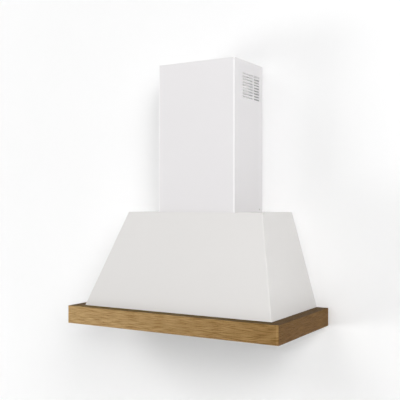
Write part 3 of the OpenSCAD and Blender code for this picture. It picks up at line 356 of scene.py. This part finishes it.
# One material for each material slot: the slot's name, how it is made, and what that is given
SLOTS = (
    # The powder coats' second colour is a painted highlight along the corners of their sheets
    ("canopy_paint", powder_coat, srgb(226, 224, 222), srgb(234, 232, 229), 0.956, 0.684, 0.005),
    ("chimney_paint", powder_coat, srgb(231, 229, 230), srgb(253, 252, 252), 0.453, 0.0, 0.0065),
    # oak_front's colours grow darker from its left end to its right, as a painted light falloff
    ("oak_front", oak, (srgb(206, 175, 124), srgb(167, 133, 84)), (srgb(152, 115, 68), srgb(110, 79, 38)),
     "X", (0.12, 0.03), (0.28, 0.25, 0.05), OAK_HALF),
    # oak_side's colours are darker than oak_front's, as painted shade on the side boards
    ("oak_side", oak, (srgb(126, 94, 54), srgb(134, 101, 60)), (srgb(92, 65, 32), srgb(98, 71, 38)),
     "Y", (0.3, 0.2), (0.52, 0.48, 0.2)),
    ("liner_steel", brushed, srgb(176, 176, 174), "X", 0.3),
    ("filter_steel", brushed, srgb(188, 188, 186), "Y", 0.24),
    ("galvanised", galvanised, srgb(176, 180, 184)),
    ("zinc_screws", plated, srgb(205, 204, 196)),
    ("shaft_steel", plated, srgb(200, 200, 200), 0.18),
    ("motor_black", enamel, srgb(38, 39, 42)),
    ("casting", cast, srgb(176, 177, 178)),
    ("rubber", moulded, srgb(32, 32, 32), 0.7),
    ("black_plastic", moulded, srgb(42, 42, 44)),
    ("white_plastic", moulded, srgb(226, 223, 212)),
    ("button_steel", plated, srgb(204, 204, 202)),
    ("circuit_board", circuit),
    ("lamp_glass", frosted),
    ("lead_sheath", sheath, srgb(40, 40, 41)),
)
MATERIALS = {slot: make(slot, *given) for slot, make, *given in SLOTS}


# Finish of the carried-over pieces

# Edges whose faces meet at less than this are shaded smooth
SMOOTH_ANGLE = math.radians(32)
# Faces that meet at less than the first angle are joined, and edges sharper than the second are rounded
FLAT_ANGLE, SHARP_ANGLE = math.radians(0.5), math.radians(40)
WELD_DISTANCE = 0.000001


def smoothing_nodes():
    """Geometry nodes that shade faces smooth, apart from their sharp edges."""
    group = bpy.data.node_groups.new("smooth_shading", "GeometryNodeTree")
    group.interface.new_socket("Geometry", in_out="INPUT", socket_type="NodeSocketGeometry")
    group.interface.new_socket("Geometry", in_out="OUTPUT", socket_type="NodeSocketGeometry")
    make, link = group.nodes.new, group.links.new
    start, end = make("NodeGroupInput"), make("NodeGroupOutput")
    faces, edges = make("GeometryNodeSetShadeSmooth"), make("GeometryNodeSetShadeSmooth")
    edges.domain = "EDGE"
    angle, less = make("GeometryNodeInputMeshEdgeAngle"), make("FunctionNodeCompare")
    less.operation = "LESS_THAN"
    less.inputs["B"].default_value = SMOOTH_ANGLE
    link(start.outputs[0], faces.inputs["Geometry"])
    link(faces.outputs[0], edges.inputs["Geometry"])
    link(angle.outputs["Unsigned Angle"], less.inputs["A"])
    link(less.outputs["Result"], edges.inputs["Shade Smooth"])
    link(edges.outputs[0], end.inputs[0])
    return group


SMOOTHING = smoothing_nodes()


def smooth(piece):
    piece.modifiers.new("smooth", "NODES").node_group = SMOOTHING


def soften(piece, width):
    """Welds a piece's faces together and rounds its sharp edges."""
    piece.modifiers.new("weld", "WELD").merge_threshold = WELD_DISTANCE
    flat = piece.modifiers.new("flat", "DECIMATE")
    flat.decimate_type = "DISSOLVE"
    flat.angle_limit = FLAT_ANGLE
    bevel = piece.modifiers.new("bevel", "BEVEL")
    bevel.width = width
    bevel.segments = 2
    bevel.limit_method = "ANGLE"
    bevel.angle_limit = SHARP_ANGLE
    smooth(piece)
    # Flat faces shade flat right up to their rounded edges
    piece.modifiers.new("normals", "WEIGHTED_NORMAL").keep_sharp = True


# Width of the rounded edges of each carried-over piece, in metres
THIN_EDGE = 0.00025
EDGES = {
    "front_rail": 0.0009, "left_rail": 0.0009, "right_rail": 0.0009, "motor_body": 0.0008,
    "junction_box": 0.0008, "control_box": 0.0006, "capacitor": 0.0015, "terminal_block": 0.0006,
    "cable_gland": 0.0005, "outlet_collar": 0.0005, "lamp_housings": 0.0004,
}

for node_name, node in frame["nodes"].items():
    slot = next(row["material_slot"] for row in frame["record"]["subparts"] if row["node"] == node_name)
    node.data.materials.clear()
    node.data.materials.append(MATERIALS[slot])
    soften(node, EDGES.get(node_name, THIN_EDGE))


# Detail pieces

# Points of a new piece that are closer than this are one
SAME_POINT = 0.000004
# Stands for a radius of nothing, so that the rings of a turned piece keep their points
TINY_RADIUS = 0.000001


class Form:
    """The points and faces of a new piece, in metres, made of rows of rings."""

    def __init__(self):
        self.points, self.faces = [], []

    def skin(self, rings, closed=False):
        """Joins rings of as many points each. A closed skin joins its last ring to its first, and an
        open one has its two ends capped."""
        first, width, count = len(self.points), len(rings[0]), len(rings)
        for ring in rings:
            self.points.extend(tuple(point) for point in ring)
        for row in range(count if closed else count - 1):
            a, b = first + row * width, first + (row + 1) % count * width
            for k in range(width):
                after = (k + 1) % width
                self.faces.append((a + k, a + after, b + after, b + k))
        if not closed:
            self.faces.append(tuple(first + k for k in reversed(range(width))))
            self.faces.append(tuple(first + (count - 1) * width + k for k in range(width)))

    def lathe(self, profile, centre, sides, axis=(0, 0, 1)):
        """Turns a profile of (radius, height along the axis) pairs round an axis through centre, into
        a piece of as many sides."""
        axis = Vector(axis)
        across = axis.orthogonal().normalized()
        other = axis.cross(across)
        turns = full_turn(sides)
        rings = []
        for radius, height in profile:
            middle, reach = Vector(centre) + axis * height, max(radius, TINY_RADIUS)
            rings.append([middle + reach * (across * math.cos(a) + other * math.sin(a)) for a in turns])
        self.skin(rings)

    def sweep(self, path, profile, up, closed=False):
        """Runs a profile of (sideways, upward) pairs along a path of points."""
        path, up = [Vector(point) for point in path], Vector(up)
        rings = []
        for k, point in enumerate(path):
            before = path[k - 1] if closed or k else point
            after = path[(k + 1) % len(path)] if closed or k + 1 < len(path) else point
            way = (after - before).normalized()
            side = up.cross(way).normalized()
            rings.append([point + side * s + up * t for s, t in profile])
        self.skin(rings, closed)

    def tube(self, path, radius, side, sides=16):
        """A round tube along a path that never runs along side."""
        path = [Vector(point) for point in path]
        turns = full_turn(sides)
        rings = []
        for k, point in enumerate(path):
            way = (path[min(k + 1, len(path) - 1)] - path[max(k - 1, 0)]).normalized()
            u = way.cross(Vector(side)).normalized()
            v = way.cross(u)
            rings.append([point + radius * (u * math.cos(a) + v * math.sin(a)) for a in turns])
        self.skin(rings)

    def block(self, low, high, edge):
        """A box with its corners and its top and bottom edges rounded by edge."""
        rings = []
        for inset, z in ((edge, low[2]), (0.3 * edge, low[2] + 0.3 * edge), (0.0, low[2] + edge),
                         (0.0, high[2] - edge), (0.3 * edge, high[2] - 0.3 * edge), (edge, high[2])):
            rings.append(rounded_rectangle(low[0] + inset, low[1] + inset, high[0] - inset,
                                           high[1] - inset, max(edge - inset, 0.2 * edge), z))
        self.skin(rings)


def full_turn(steps):
    return [2 * math.pi * k / steps for k in range(steps)]


def circle(x, y, z, radius, steps):
    """Points of a level circle."""
    return [(x + radius * math.cos(a), y + radius * math.sin(a), z) for a in full_turn(steps)]


def rounded_rectangle(x0, y0, x1, y1, radius, z, steps=4):
    points = []
    for x, y, start in ((x1 - radius, y1 - radius, 0), (x0 + radius, y1 - radius, 90),
                        (x0 + radius, y0 + radius, 180), (x1 - radius, y0 + radius, 270)):
        for k in range(steps + 1):
            turn = math.radians(start + 90 * k / steps)
            points.append((x + radius * math.cos(turn), y + radius * math.sin(turn), z))
    return points


def bead(width, height, steps=6):
    """Profile of a pressed bead or weld: part of a round, on a flat foot."""
    turns = [math.pi * k / steps for k in range(steps + 1)]
    return [(width / 2 * math.cos(a), height * math.sin(a)) for a in turns]


def curve(points, steps=8):
    """Points of a smooth curve through a few chosen ones."""
    made = []
    for k in range(len(points) - 1):
        a, b = Vector(points[max(k - 1, 0)]), Vector(points[k])
        c, d = Vector(points[k + 1]), Vector(points[min(k + 2, len(points) - 1)])
        for step in range(steps):
            t = step / steps
            made.append(0.5 * (2 * b + (c - a) * t + (2 * a - 5 * b + 4 * c - d) * t * t
                               + (3 * b - a - 3 * c + d) * t ** 3))
    return made + [Vector(points[-1])]


def add_piece(name, form, slot, body="root", stands_for=()):
    """Makes a form into a piece that rides on a body and may stand for CAD nodes."""
    mesh = bpy.data.meshes.new(name)
    mesh.from_pydata(form.points, [], form.faces)
    work = bmesh.new()
    work.from_mesh(mesh)
    bmesh.ops.remove_doubles(work, verts=work.verts, dist=SAME_POINT)
    bmesh.ops.recalc_face_normals(work, faces=work.faces)
    work.to_mesh(mesh)
    work.free()
    made = bpy.data.objects.new(name, mesh)
    bpy.context.scene.collection.objects.link(made)
    mesh.materials.append(MATERIALS[slot])
    smooth(made)
    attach(made, body)
    if stands_for:
        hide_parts(*stands_for)


def centre_of(node_name):
    low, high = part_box(node_name)
    return [(a + b) / 2 for a, b in zip(low, high)]


RIGHTWARD, WALLWARD, DOWN = (1, 0, 0), (0, 1, 0), (0, 0, -1)
BUTTONS = ("button_light", "button_off", "button_speed_1", "button_speed_2", "button_speed_3")
SIDES = ("left", "middle", "right")

# The liner's sheet
LINER_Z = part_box("liner_panel")[0][2]
LINER_TOP = LINER_Z + 0.001
# The row of lamps and buttons
LIGHT_Y = centre_of("control_bezel")[1]
LENS_RADIUS = 0.0277
LAMP_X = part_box("lamp_lenses")[1][0] - LENS_RADIUS
# A filter's half width, its rear edge and the width of its frame
FILTER_HALF, FILTER_REAR, RAIL = 0.129, -0.034, 0.012
BAFFLES = 7


def lamp_lens_rings():
    """Both lamp lenses, each pressed with rings round a bull's eye."""
    base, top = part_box("lamp_lenses")[0][2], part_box("lamp_lenses")[1][2]
    eye, pitch, groove, crest, chamfer = 0.0065, 0.0026, 0.0007, 0.0002, 0.0006
    profile = [(0.0, 0.0), (0.0035, crest), (eye, groove)]
    radius = eye
    while radius + pitch < LENS_RADIUS:
        profile += [(radius + 0.25 * pitch, crest), (radius + pitch, groove)]
        radius += pitch
    profile += [(LENS_RADIUS - chamfer, 0.0), (LENS_RADIUS, chamfer), (LENS_RADIUS, top - base),
                (0.0, top - base)]
    form = Form()
    for sign in (-1, 1):
        form.lathe(profile, (sign * LAMP_X, LIGHT_Y, base), 48)
    add_piece("lamp_lens_rings", form, "lamp_glass", stands_for=["lamp_lenses"])


def lamp_optics():
    """A bright bowl behind each lens, with seven light-emitting dots at its bottom."""
    bowls, dots = Form(), Form()
    mouth, floor, depth, wall = 0.0276, 0.011, 0.0078, 0.0005
    dots_out, lens_gap, steps = 0.0062, 0.0006, 8
    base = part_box("lamp_lenses")[1][2] + lens_gap
    bowl = [(mouth + (floor - mouth) * t, depth * math.sin(t * math.pi / 2))
            for t in (k / steps for k in range(steps + 1))]
    bowl += [(0.0, depth), (0.0, depth + wall), (floor, depth + wall), (mouth, wall)]
    dot = [(0.0, -0.0012), (0.0011, -0.001), (0.0017, -0.0003), (0.0017, 0.0), (0.0, 0.0)]
    for sign in (-1, 1):
        bowls.lathe(bowl, (sign * LAMP_X, LIGHT_Y, base), 40)
        for place in circle(sign * LAMP_X, LIGHT_Y, base + depth, dots_out, 6):
            dots.lathe(dot, place, 16)
        dots.lathe(dot, (sign * LAMP_X, LIGHT_Y, base + depth), 16)
    add_piece("lamp_bowls", bowls, "white_plastic")
    add_piece("lamp_dots", dots, "button_steel")


def button_caps():
    """Each button as a turned cap with a dished face. Small pips count the speeds, a ring marks the
    light and a bar the off button."""
    dish, rim, skirt, collar = 0.0006, 0.005, 0.0046, 0.0064
    ring_radius, half_bar, pip_pitch, ring_steps = 0.0017, 0.0018, 0.0015, 24
    pip = [(0.0, -0.0006), (0.0003, -0.0005), (0.0005, 0.0), (0.0, 0.0)]
    for k, node_name in enumerate(BUTTONS):
        low, high = (Vector(corner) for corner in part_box(node_name))
        centre = (low + high) / 2
        centre.z = low.z
        tall, flange = high.z - low.z, LINER_Z + 0.0003 - low.z
        profile = [(0.0, dish), (0.0026, dish * 0.8), (0.0038, 0.0002), (0.0043, 0.0), (0.0048, 0.0002),
                   (rim, 0.0009), (rim, flange), (collar, flange), (collar, flange + 0.0012),
                   (skirt, flange + 0.0012), (skirt, tall), (0.0, tall)]
        form = Form()
        form.lathe(profile, centre, 40)
        face = centre + Vector((0, 0, dish))
        if node_name == "button_light":
            form.sweep(circle(*face, ring_radius, ring_steps), bead(0.0006, 0.0004), DOWN, closed=True)
        elif node_name == "button_off":
            bar = Vector((half_bar, 0, 0))
            form.sweep([face - bar, face + bar], bead(0.0007, 0.0004), DOWN)
        else:
            speeds = k - 1
            for number in range(speeds):
                place = face + Vector(((number - (speeds - 1) / 2) * pip_pitch, 0, 0.0001))
                form.lathe(pip, place, 12)
        add_piece("cap_of_" + node_name, form, "button_steel", node_name, [node_name])


def bezel_rings():
    """A pressed ring round each button hole in the bezel."""
    form = Form()
    for node_name in BUTTONS:
        ring = circle(centre_of(node_name)[0], LIGHT_Y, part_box("control_bezel")[0][2], 0.0074, 40)
        form.sweep(ring, bead(0.0012, 0.0005), DOWN, closed=True)
    add_piece("bezel_rings", form, "button_steel")


def filter_trim(side):
    """Welds along the mitres of a filter frame, and rivets beside them and along the baffles' ends."""
    x, front = centre_of("filter_baffles_" + side)[0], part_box("filter_frame_" + side)[0][1]
    weld_out, weld_in, rivet_in, end_rivet_in = 0.0008, 0.0004, 0.022, 0.0015
    rivet = [(0.0, 0.0011), (0.0013, 0.0009), (0.0021, 0.0004), (0.0023, 0.0), (0.0, 0.0)]
    end_rivet = [(0.0, 0.0005), (0.0007, 0.0004), (0.0011, 0.0), (0.0, 0.0)]
    welds, rivets = Form(), Form()
    for sign in (-1, 1):
        for end, step in ((front, 1), (FILTER_REAR, -1)):
            outer = (x + sign * (FILTER_HALF - weld_out), end + step * weld_out, LINER_Z)
            inner = (x + sign * (FILTER_HALF - RAIL + weld_in), end + step * (RAIL - weld_in), LINER_Z)
            welds.sweep([outer, inner], bead(0.0014, 0.0004), DOWN)
            for along, inward in ((rivet_in, RAIL / 2), (RAIL / 2, rivet_in)):
                place = (x + sign * (FILTER_HALF - along), end + step * inward, LINER_Z)
                rivets.lathe(rivet, place, 20, DOWN)
    low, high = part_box("filter_baffles_" + side)
    pitch = (high[0] - low[0] + RAIL) / BAFFLES
    for k in range(BAFFLES):
        for y in (low[1] + end_rivet_in, high[1] - end_rivet_in):
            rivets.lathe(end_rivet, (x + (k - BAFFLES // 2) * pitch, y, LINER_Z), 12, DOWN)
    add_piece("filter_welds_" + side, welds, "filter_steel", "filter_" + side)
    add_piece("filter_rivets_" + side, rivets, "zinc_screws", "filter_" + side)


def latch_grip(side):
    """Ribs on the finger tab of a filter latch."""
    # The tab's face behind the filter's front edge, and how far its ribs reach below the liner
    tab_back, rib_low, rib_high, rib_pitch = 0.0023, 0.0046, 0.0006, 0.004
    x, y = centre_of("filter_baffles_" + side)[0], tab_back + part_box("filter_frame_" + side)[0][1]
    form = Form()
    for k in range(-4, 5):
        rib = x + k * rib_pitch
        form.sweep([(rib, y, LINER_Z - rib_low), (rib, y, LINER_Z - rib_high)], bead(0.0014, 0.0004),
                   (0, -1, 0))
    add_piece("latch_grip_" + side, form, "black_plastic", "latch_" + side)


def window_beads():
    """A stiffening bead pressed round each filter window of the liner."""
    form = Form()
    clearance, beside, behind = 0.0015, 0.0052, 0.0095
    for side in SIDES:
        x = centre_of("filter_baffles_" + side)[0]
        y0, y1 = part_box("filter_frame_" + side)[0][1] - clearance, FILTER_REAR + clearance
        half = FILTER_HALF + clearance + beside
        path = rounded_rectangle(x - half, y0 - beside, x + half, y1 + behind, 0.006, LINER_Z)
        form.sweep(path, bead(0.004, 0.0007), DOWN, closed=True)
    add_piece("window_beads", form, "liner_steel")


def back_ribs():
    """Beads pressed into the back panel: one round its edge and two upright."""
    low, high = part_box("back_panel")
    # How far the outer bead stays within the panel's edges, and how the panel narrows above its skirt
    inset, foot, head, narrowing, skirt_top, rounding = 0.05, 0.06, 0.055, 0.2837, 0.075, 0.03
    upright_x, upright_end = 0.1, 0.05
    floor, ceiling = low[2] + foot, high[2] - head

    def half_width(z):
        return high[0] - inset - narrowing * max(z - skirt_top, 0.0)

    corners = [Vector((sign * half_width(z), z))
               for sign, z in ((1, floor), (1, ceiling), (-1, ceiling), (-1, floor))]
    path = []
    for k, corner in enumerate(corners):
        before, after = corners[k - 1], corners[(k + 1) % 4]
        start = corner + (before - corner).normalized() * rounding
        end = corner + (after - corner).normalized() * rounding
        for t in (0, 0.25, 0.5, 0.75, 1):
            path.append(start * (1 - t) ** 2 + corner * 2 * t * (1 - t) + end * t * t)
    profile = bead(0.012, 0.0013)
    form = Form()
    form.sweep([(x, 0.0, z) for x, z in path], profile, WALLWARD, closed=True)
    for x in (-upright_x, upright_x):
        form.sweep([(x, 0.0, floor + upright_end), (x, 0.0, ceiling - upright_end)], profile, WALLWARD)
    add_piece("back_ribs", form, "galvanised")


def leads():
    """The leads inside the hood as smooth tubes, each through the points that its solid follows."""
    radius = 0.003
    control_route = [
        (0.04, -0.403, 0.042), (0.04, -0.403, 0.062), (0.11, -0.393, 0.102), (0.21, -0.3819, 0.19),
        (0.235, -0.3229, 0.3), (0.205, -0.181, 0.422), (0.18, -0.121, 0.461), (0.175, -0.091, 0.461)]
    motor_route = [
        (0.16, -0.062, 0.441), (0.16, -0.062, 0.416), (0.165, -0.12475, 0.36), (0.1305, -0.1795, 0.32),
        (0.1005, -0.1875, 0.32)]
    lamp_route = [
        (0.3, 0.036), (0.3, 0.048), (0.278, 0.056), (0.252, 0.032), (0.222, 0.0193), (0.195, 0.0143),
        (0.16, 0.0133), (0.133, 0.0138), (0.093, 0.016), (0.071, 0.016)]
    lamp_routes = [[(sign * x, LIGHT_Y, z) for x, z in lamp_route] for sign in (-1, 1)]
    for node_name, side, routes in (("control_lead", RIGHTWARD, [control_route]),
                                    ("motor_lead", WALLWARD, [motor_route]),
                                    ("lamp_leads", WALLWARD, lamp_routes)):
        form = Form()
        for route in routes:
            form.tube(curve(route), radius, side)
        add_piece(node_name + "_tube", form, "lead_sheath", stands_for=[node_name])


def lead_clips():
    """Saddle clips that hold the lamp leads on the liner, each with its rivet."""
    clips, rivets = Form(), Form()
    saddle, arch_steps, half_strip, half_sheet = 0.0041, 8, 0.003, 0.0004
    strip = [(-half_sheet, -half_strip), (half_sheet, -half_strip), (half_sheet, half_strip),
             (-half_sheet, half_strip)]
    rivet = [(0.0, 0.0013), (0.0012, 0.0011), (0.0019, 0.0), (0.0, 0.0)]
    # Where the clips sit, and the height of the lead's middle there
    for x, middle in ((-0.186, 0.0142), (-0.146, 0.0135), (0.146, 0.0135), (0.186, 0.0142)):
        arch = [(x, LIGHT_Y - 0.0105, LINER_TOP + 0.0005), (x, LIGHT_Y - 0.0055, LINER_TOP + 0.0005)]
        for k in range(arch_steps + 1):
            turn = math.pi * (1 - k / arch_steps)
            arch.append((x, LIGHT_Y + saddle * math.cos(turn), middle + saddle * math.sin(turn)))
        arch.append((x, LIGHT_Y + 0.0044, LINER_TOP + 0.0004))
        clips.sweep(arch, strip, RIGHTWARD)
        rivets.lathe(rivet, (x, LIGHT_Y - 0.008, LINER_TOP + 0.0009), 16)
    add_piece("lead_clips", clips, "zinc_screws")
    add_piece("clip_rivets", rivets, "zinc_screws")


def board_parts():
    """A power relay, three smaller relays and three smoothing capacitors on the control board."""
    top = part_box("control_board")[1][2]
    relays, cans = Form(), Form()
    # Each relay's two ends, half its depth, its height and its rounding
    for x0, x1, half, tall, edge in ((-0.062, -0.036, 0.011, 0.0088, 0.0012),
                                     (-0.03, -0.0195, 0.008, 0.0075, 0.0008),
                                     (-0.0165, -0.006, 0.008, 0.0075, 0.0008),
                                     (-0.003, 0.0075, 0.008, 0.0075, 0.0008)):
        relays.block((x0, LIGHT_Y - half, top), (x1, LIGHT_Y + half, top + tall), edge)
    for x, y, radius, tall in ((0.018, -0.006, 0.004, 0.0085), (0.028, -0.006, 0.004, 0.0085),
                               (0.052, 0.006, 0.005, 0.009)):
        can = [(0.0, tall - 0.0003), (radius - 0.0012, tall - 0.0003), (radius - 0.001, tall),
               (radius - 0.0004, tall), (radius, tall - 0.0004), (radius, 0.0018),
               (radius - 0.0004, 0.0014), (radius, 0.001), (radius, 0.0), (0.0, 0.0)]
        cans.lathe(can, (x, LIGHT_Y + y, top), 28)
    add_piece("board_relays", relays, "black_plastic")
    add_piece("board_capacitors", cans, "casting")


def terminal_screws():
    """The clamp screws sunk in the terminal block, each a turned head in its pole."""
    low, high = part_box("terminal_block")
    y, poles, sunk = centre_of("terminal_block")[1], 5, 0.0035
    pitch = (high[0] - low[0]) / poles
    screw = [(0.0, -0.004), (0.0027, -0.004), (0.0027, -0.0004), (0.0023, 0.0), (0.0012, 0.0),
             (0.0009, -0.0008), (0.0, -0.0008)]
    form = Form()
    for k in range(poles):
        form.lathe(screw, (low[0] + (k + 0.5) * pitch, y, high[2] - sunk), 24)
    add_piece("terminal_screws", form, "zinc_screws")


def motor_trim():
    """A bearing cap and four through-bolts on the end of the motor."""
    _, y, z = centre_of("motor_body")
    end, bolts_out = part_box("motor_body")[1][0], 0.024
    cap_profile = [(0.0056, 0.0), (0.0145, 0.0), (0.0145, 0.0018), (0.0135, 0.0028), (0.0085, 0.0032),
                   (0.0075, 0.0044), (0.0056, 0.0044)]
    bolt = [(0.0, 0.0024), (0.0024, 0.0024), (0.0028, 0.002), (0.0028, 0.0), (0.0, 0.0)]
    cap, bolts = Form(), Form()
    cap.lathe(cap_profile, (end, y, z), 40, RIGHTWARD)
    for k in range(4):
        turn = math.radians(45 + 90 * k)
        place = (end, y + bolts_out * math.cos(turn), z + bolts_out * math.sin(turn))
        bolts.lathe(bolt, place, 6, RIGHTWARD)
    add_piece("bearing_cap", cap, "casting")
    add_piece("motor_bolts", bolts, "zinc_screws")


lamp_lens_rings()
lamp_optics()
button_caps()
bezel_rings()
for side in SIDES:
    filter_trim(side)
    latch_grip(side)
window_beads()
back_ribs()
leads()
lead_clips()
board_parts()
terminal_screws()
motor_trim()


# Room, light and camera

def one_sided(name, colour, fade, reach=0.0, window=(0.0, 0.0, 0.0)):
    """A matt surface that is seen from its front only. Between the two distances of fade from the hood
    it turns plain white. Light from behind passes through it to what lies within reach, and through a
    window of (half width, foot, head), so that the back of the hood and the inside of its chimney
    aren't black."""
    m = Shader(name, Roughness=1.0, Specular_IOR_Level=0.0)
    speck = m.noise(m.coords(), 3.0, 2.0)
    tone = m.mix(m.span(speck, 0.3, 0.7), colour, darker(colour, 0.995))
    path = m.node("LightPath").outputs
    x, _, z = m.split(m.coords())
    half, foot, head = window
    across = m.math("ABSOLUTE", x)
    between = m.math("MULTIPLY", m.math("GREATER_THAN", z, foot), m.math("LESS_THAN", z, head))
    inside = m.math("MULTIPLY", m.math("LESS_THAN", across, half), between)
    # Painted shade: the wall inside the chimney is darker towards its corners
    tone = m.mix(m.math("MULTIPLY", inside, m.span(across, 0.11, 0.145, 0.0, 0.45)), tone,
                 darker(colour, 0.05))
    m.set(Base_Color=tone)
    away = m.node("VectorMath", m.coords(), HOOD_MIDDLE, operation="DISTANCE").outputs["Value"]
    plain = m.math("MULTIPLY", m.looked_at(path), m.span(away, *fade))
    faded = m.mix_shaders(plain, m.surface.outputs[0], m.node("Emission", WHITE, 1.0).outputs[0])
    open_to_light = m.math("MAXIMUM", m.math("LESS_THAN", path["Ray Length"], reach), inside)
    open_to_light = m.math("SUBTRACT", open_to_light, path["Is Camera Ray"], clamp=True)
    clear = m.math("MAXIMUM", open_to_light, m.node("NewGeometry").outputs["Backfacing"])
    m.put(m.out.inputs[0], m.mix_shaders(clear, faded, m.node("BsdfTransparent").outputs[0]))
    return m.material


def backdrop(name, corners, material):
    mesh = bpy.data.meshes.new(name)
    mesh.from_pydata(corners, [], [range(len(corners))])
    sheet = bpy.data.objects.new(name, mesh)
    bpy.context.scene.collection.objects.link(sheet)
    mesh.materials.append(material)


def room():
    """The wall and the floor."""
    paint = srgb(254, 254, 254)
    cover_low, cover_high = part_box("chimney_cover")
    window = (cover_high[0] - 0.002, cover_low[2] + 0.005, cover_high[2] - 0.05)
    wide, gap = ROOM_HALF_WIDTH, WALL_GAP
    backdrop("wall",
             [(-wide, gap, FLOOR_Z), (wide, gap, FLOOR_Z), (wide, gap, ROOM_TOP), (-wide, gap, ROOM_TOP)],
             one_sided("wall_white", paint, WALL_FADE, REAR_LIGHT_REACH, window))
    backdrop("floor",
             [(-wide, FLOOR_FRONT, FLOOR_Z), (wide, FLOOR_FRONT, FLOOR_Z), (wide, gap, FLOOR_Z),
              (-wide, gap, FLOOR_Z)],
             one_sided("floor_white", darker(paint, 0.84), FLOOR_FADE))


def sky(below, level, overhead):
    """Light from all round, of these strengths by height. The camera and what it sees reflected get
    plain white instead."""
    world = bpy.data.worlds.new("sky")
    bpy.context.scene.world = world
    world.use_nodes = True
    n = Nodes(world.node_tree)
    height = n.split(n.node("TexCoord").outputs["Generated"])["Z"]
    lower = n.span(height, -0.7, 0.0, below, level)
    strength = n.span(height, 0.0, 0.9, lower, overhead)
    light, white = n.node("Background", WHITE, strength), n.tree.nodes["Background"]
    n.put(white.inputs["Color"], WHITE)
    seen = n.looked_at(n.node("LightPath").outputs)
    n.put(n.tree.nodes["World Output"].inputs[0], n.mix_shaders(seen, light.outputs[0], white.outputs[0]))


def soft_box(name, turn, height, level, size=(2.6, 1.7), distance=6.0):
    """A rectangular lamp of size (width, height), seen from the hood turn degrees to the right of the
    front and height degrees up. level is how brightly it alone would show a white sheet that faces it."""
    light = bpy.data.lights.new(name, "AREA")
    light.shape = "RECTANGLE"
    light.size, light.size_y = size
    light.energy = level * math.pi ** 2 * distance ** 2
    holder = bpy.data.objects.new(name, light)
    bpy.context.scene.collection.objects.link(holder)
    turn, height = math.radians(turn), math.radians(height)
    flat = math.cos(height)
    away = Vector((math.sin(turn) * flat, -math.cos(turn) * flat, math.sin(height)))
    holder.location = Vector(HOOD_MIDDLE) + away * distance
    holder.rotation_euler = away.to_track_quat("Z", "Y").to_euler()


room()
sky(below=0.2, level=0.15, overhead=0.05)
soft_box("low_left", -60, -12, 0.315)
soft_box("high_left", -60, 42, 0.15)
soft_box("front", -10, 26, 0.17)
soft_box("right", 36, 10, 0.375)
soft_box("high_right", 44, 26, 0.25)
soft_box("rear", 170, 20, 0.4, size=(2.6, 2.6))

camera = bpy.data.objects.new("camera", bpy.data.cameras.new("camera"))
bpy.context.scene.collection.objects.link(camera)
camera.location = CAMERA_PLACE
camera.rotation_euler = (math.pi / 2, 0.0, CAMERA_TURN)
camera.data.lens = CAMERA_LENS
camera.data.shift_x, camera.data.shift_y = CAMERA_SHIFT
bpy.context.scene.camera = camera
bpy.context.scene.view_settings.view_transform = "Standard"
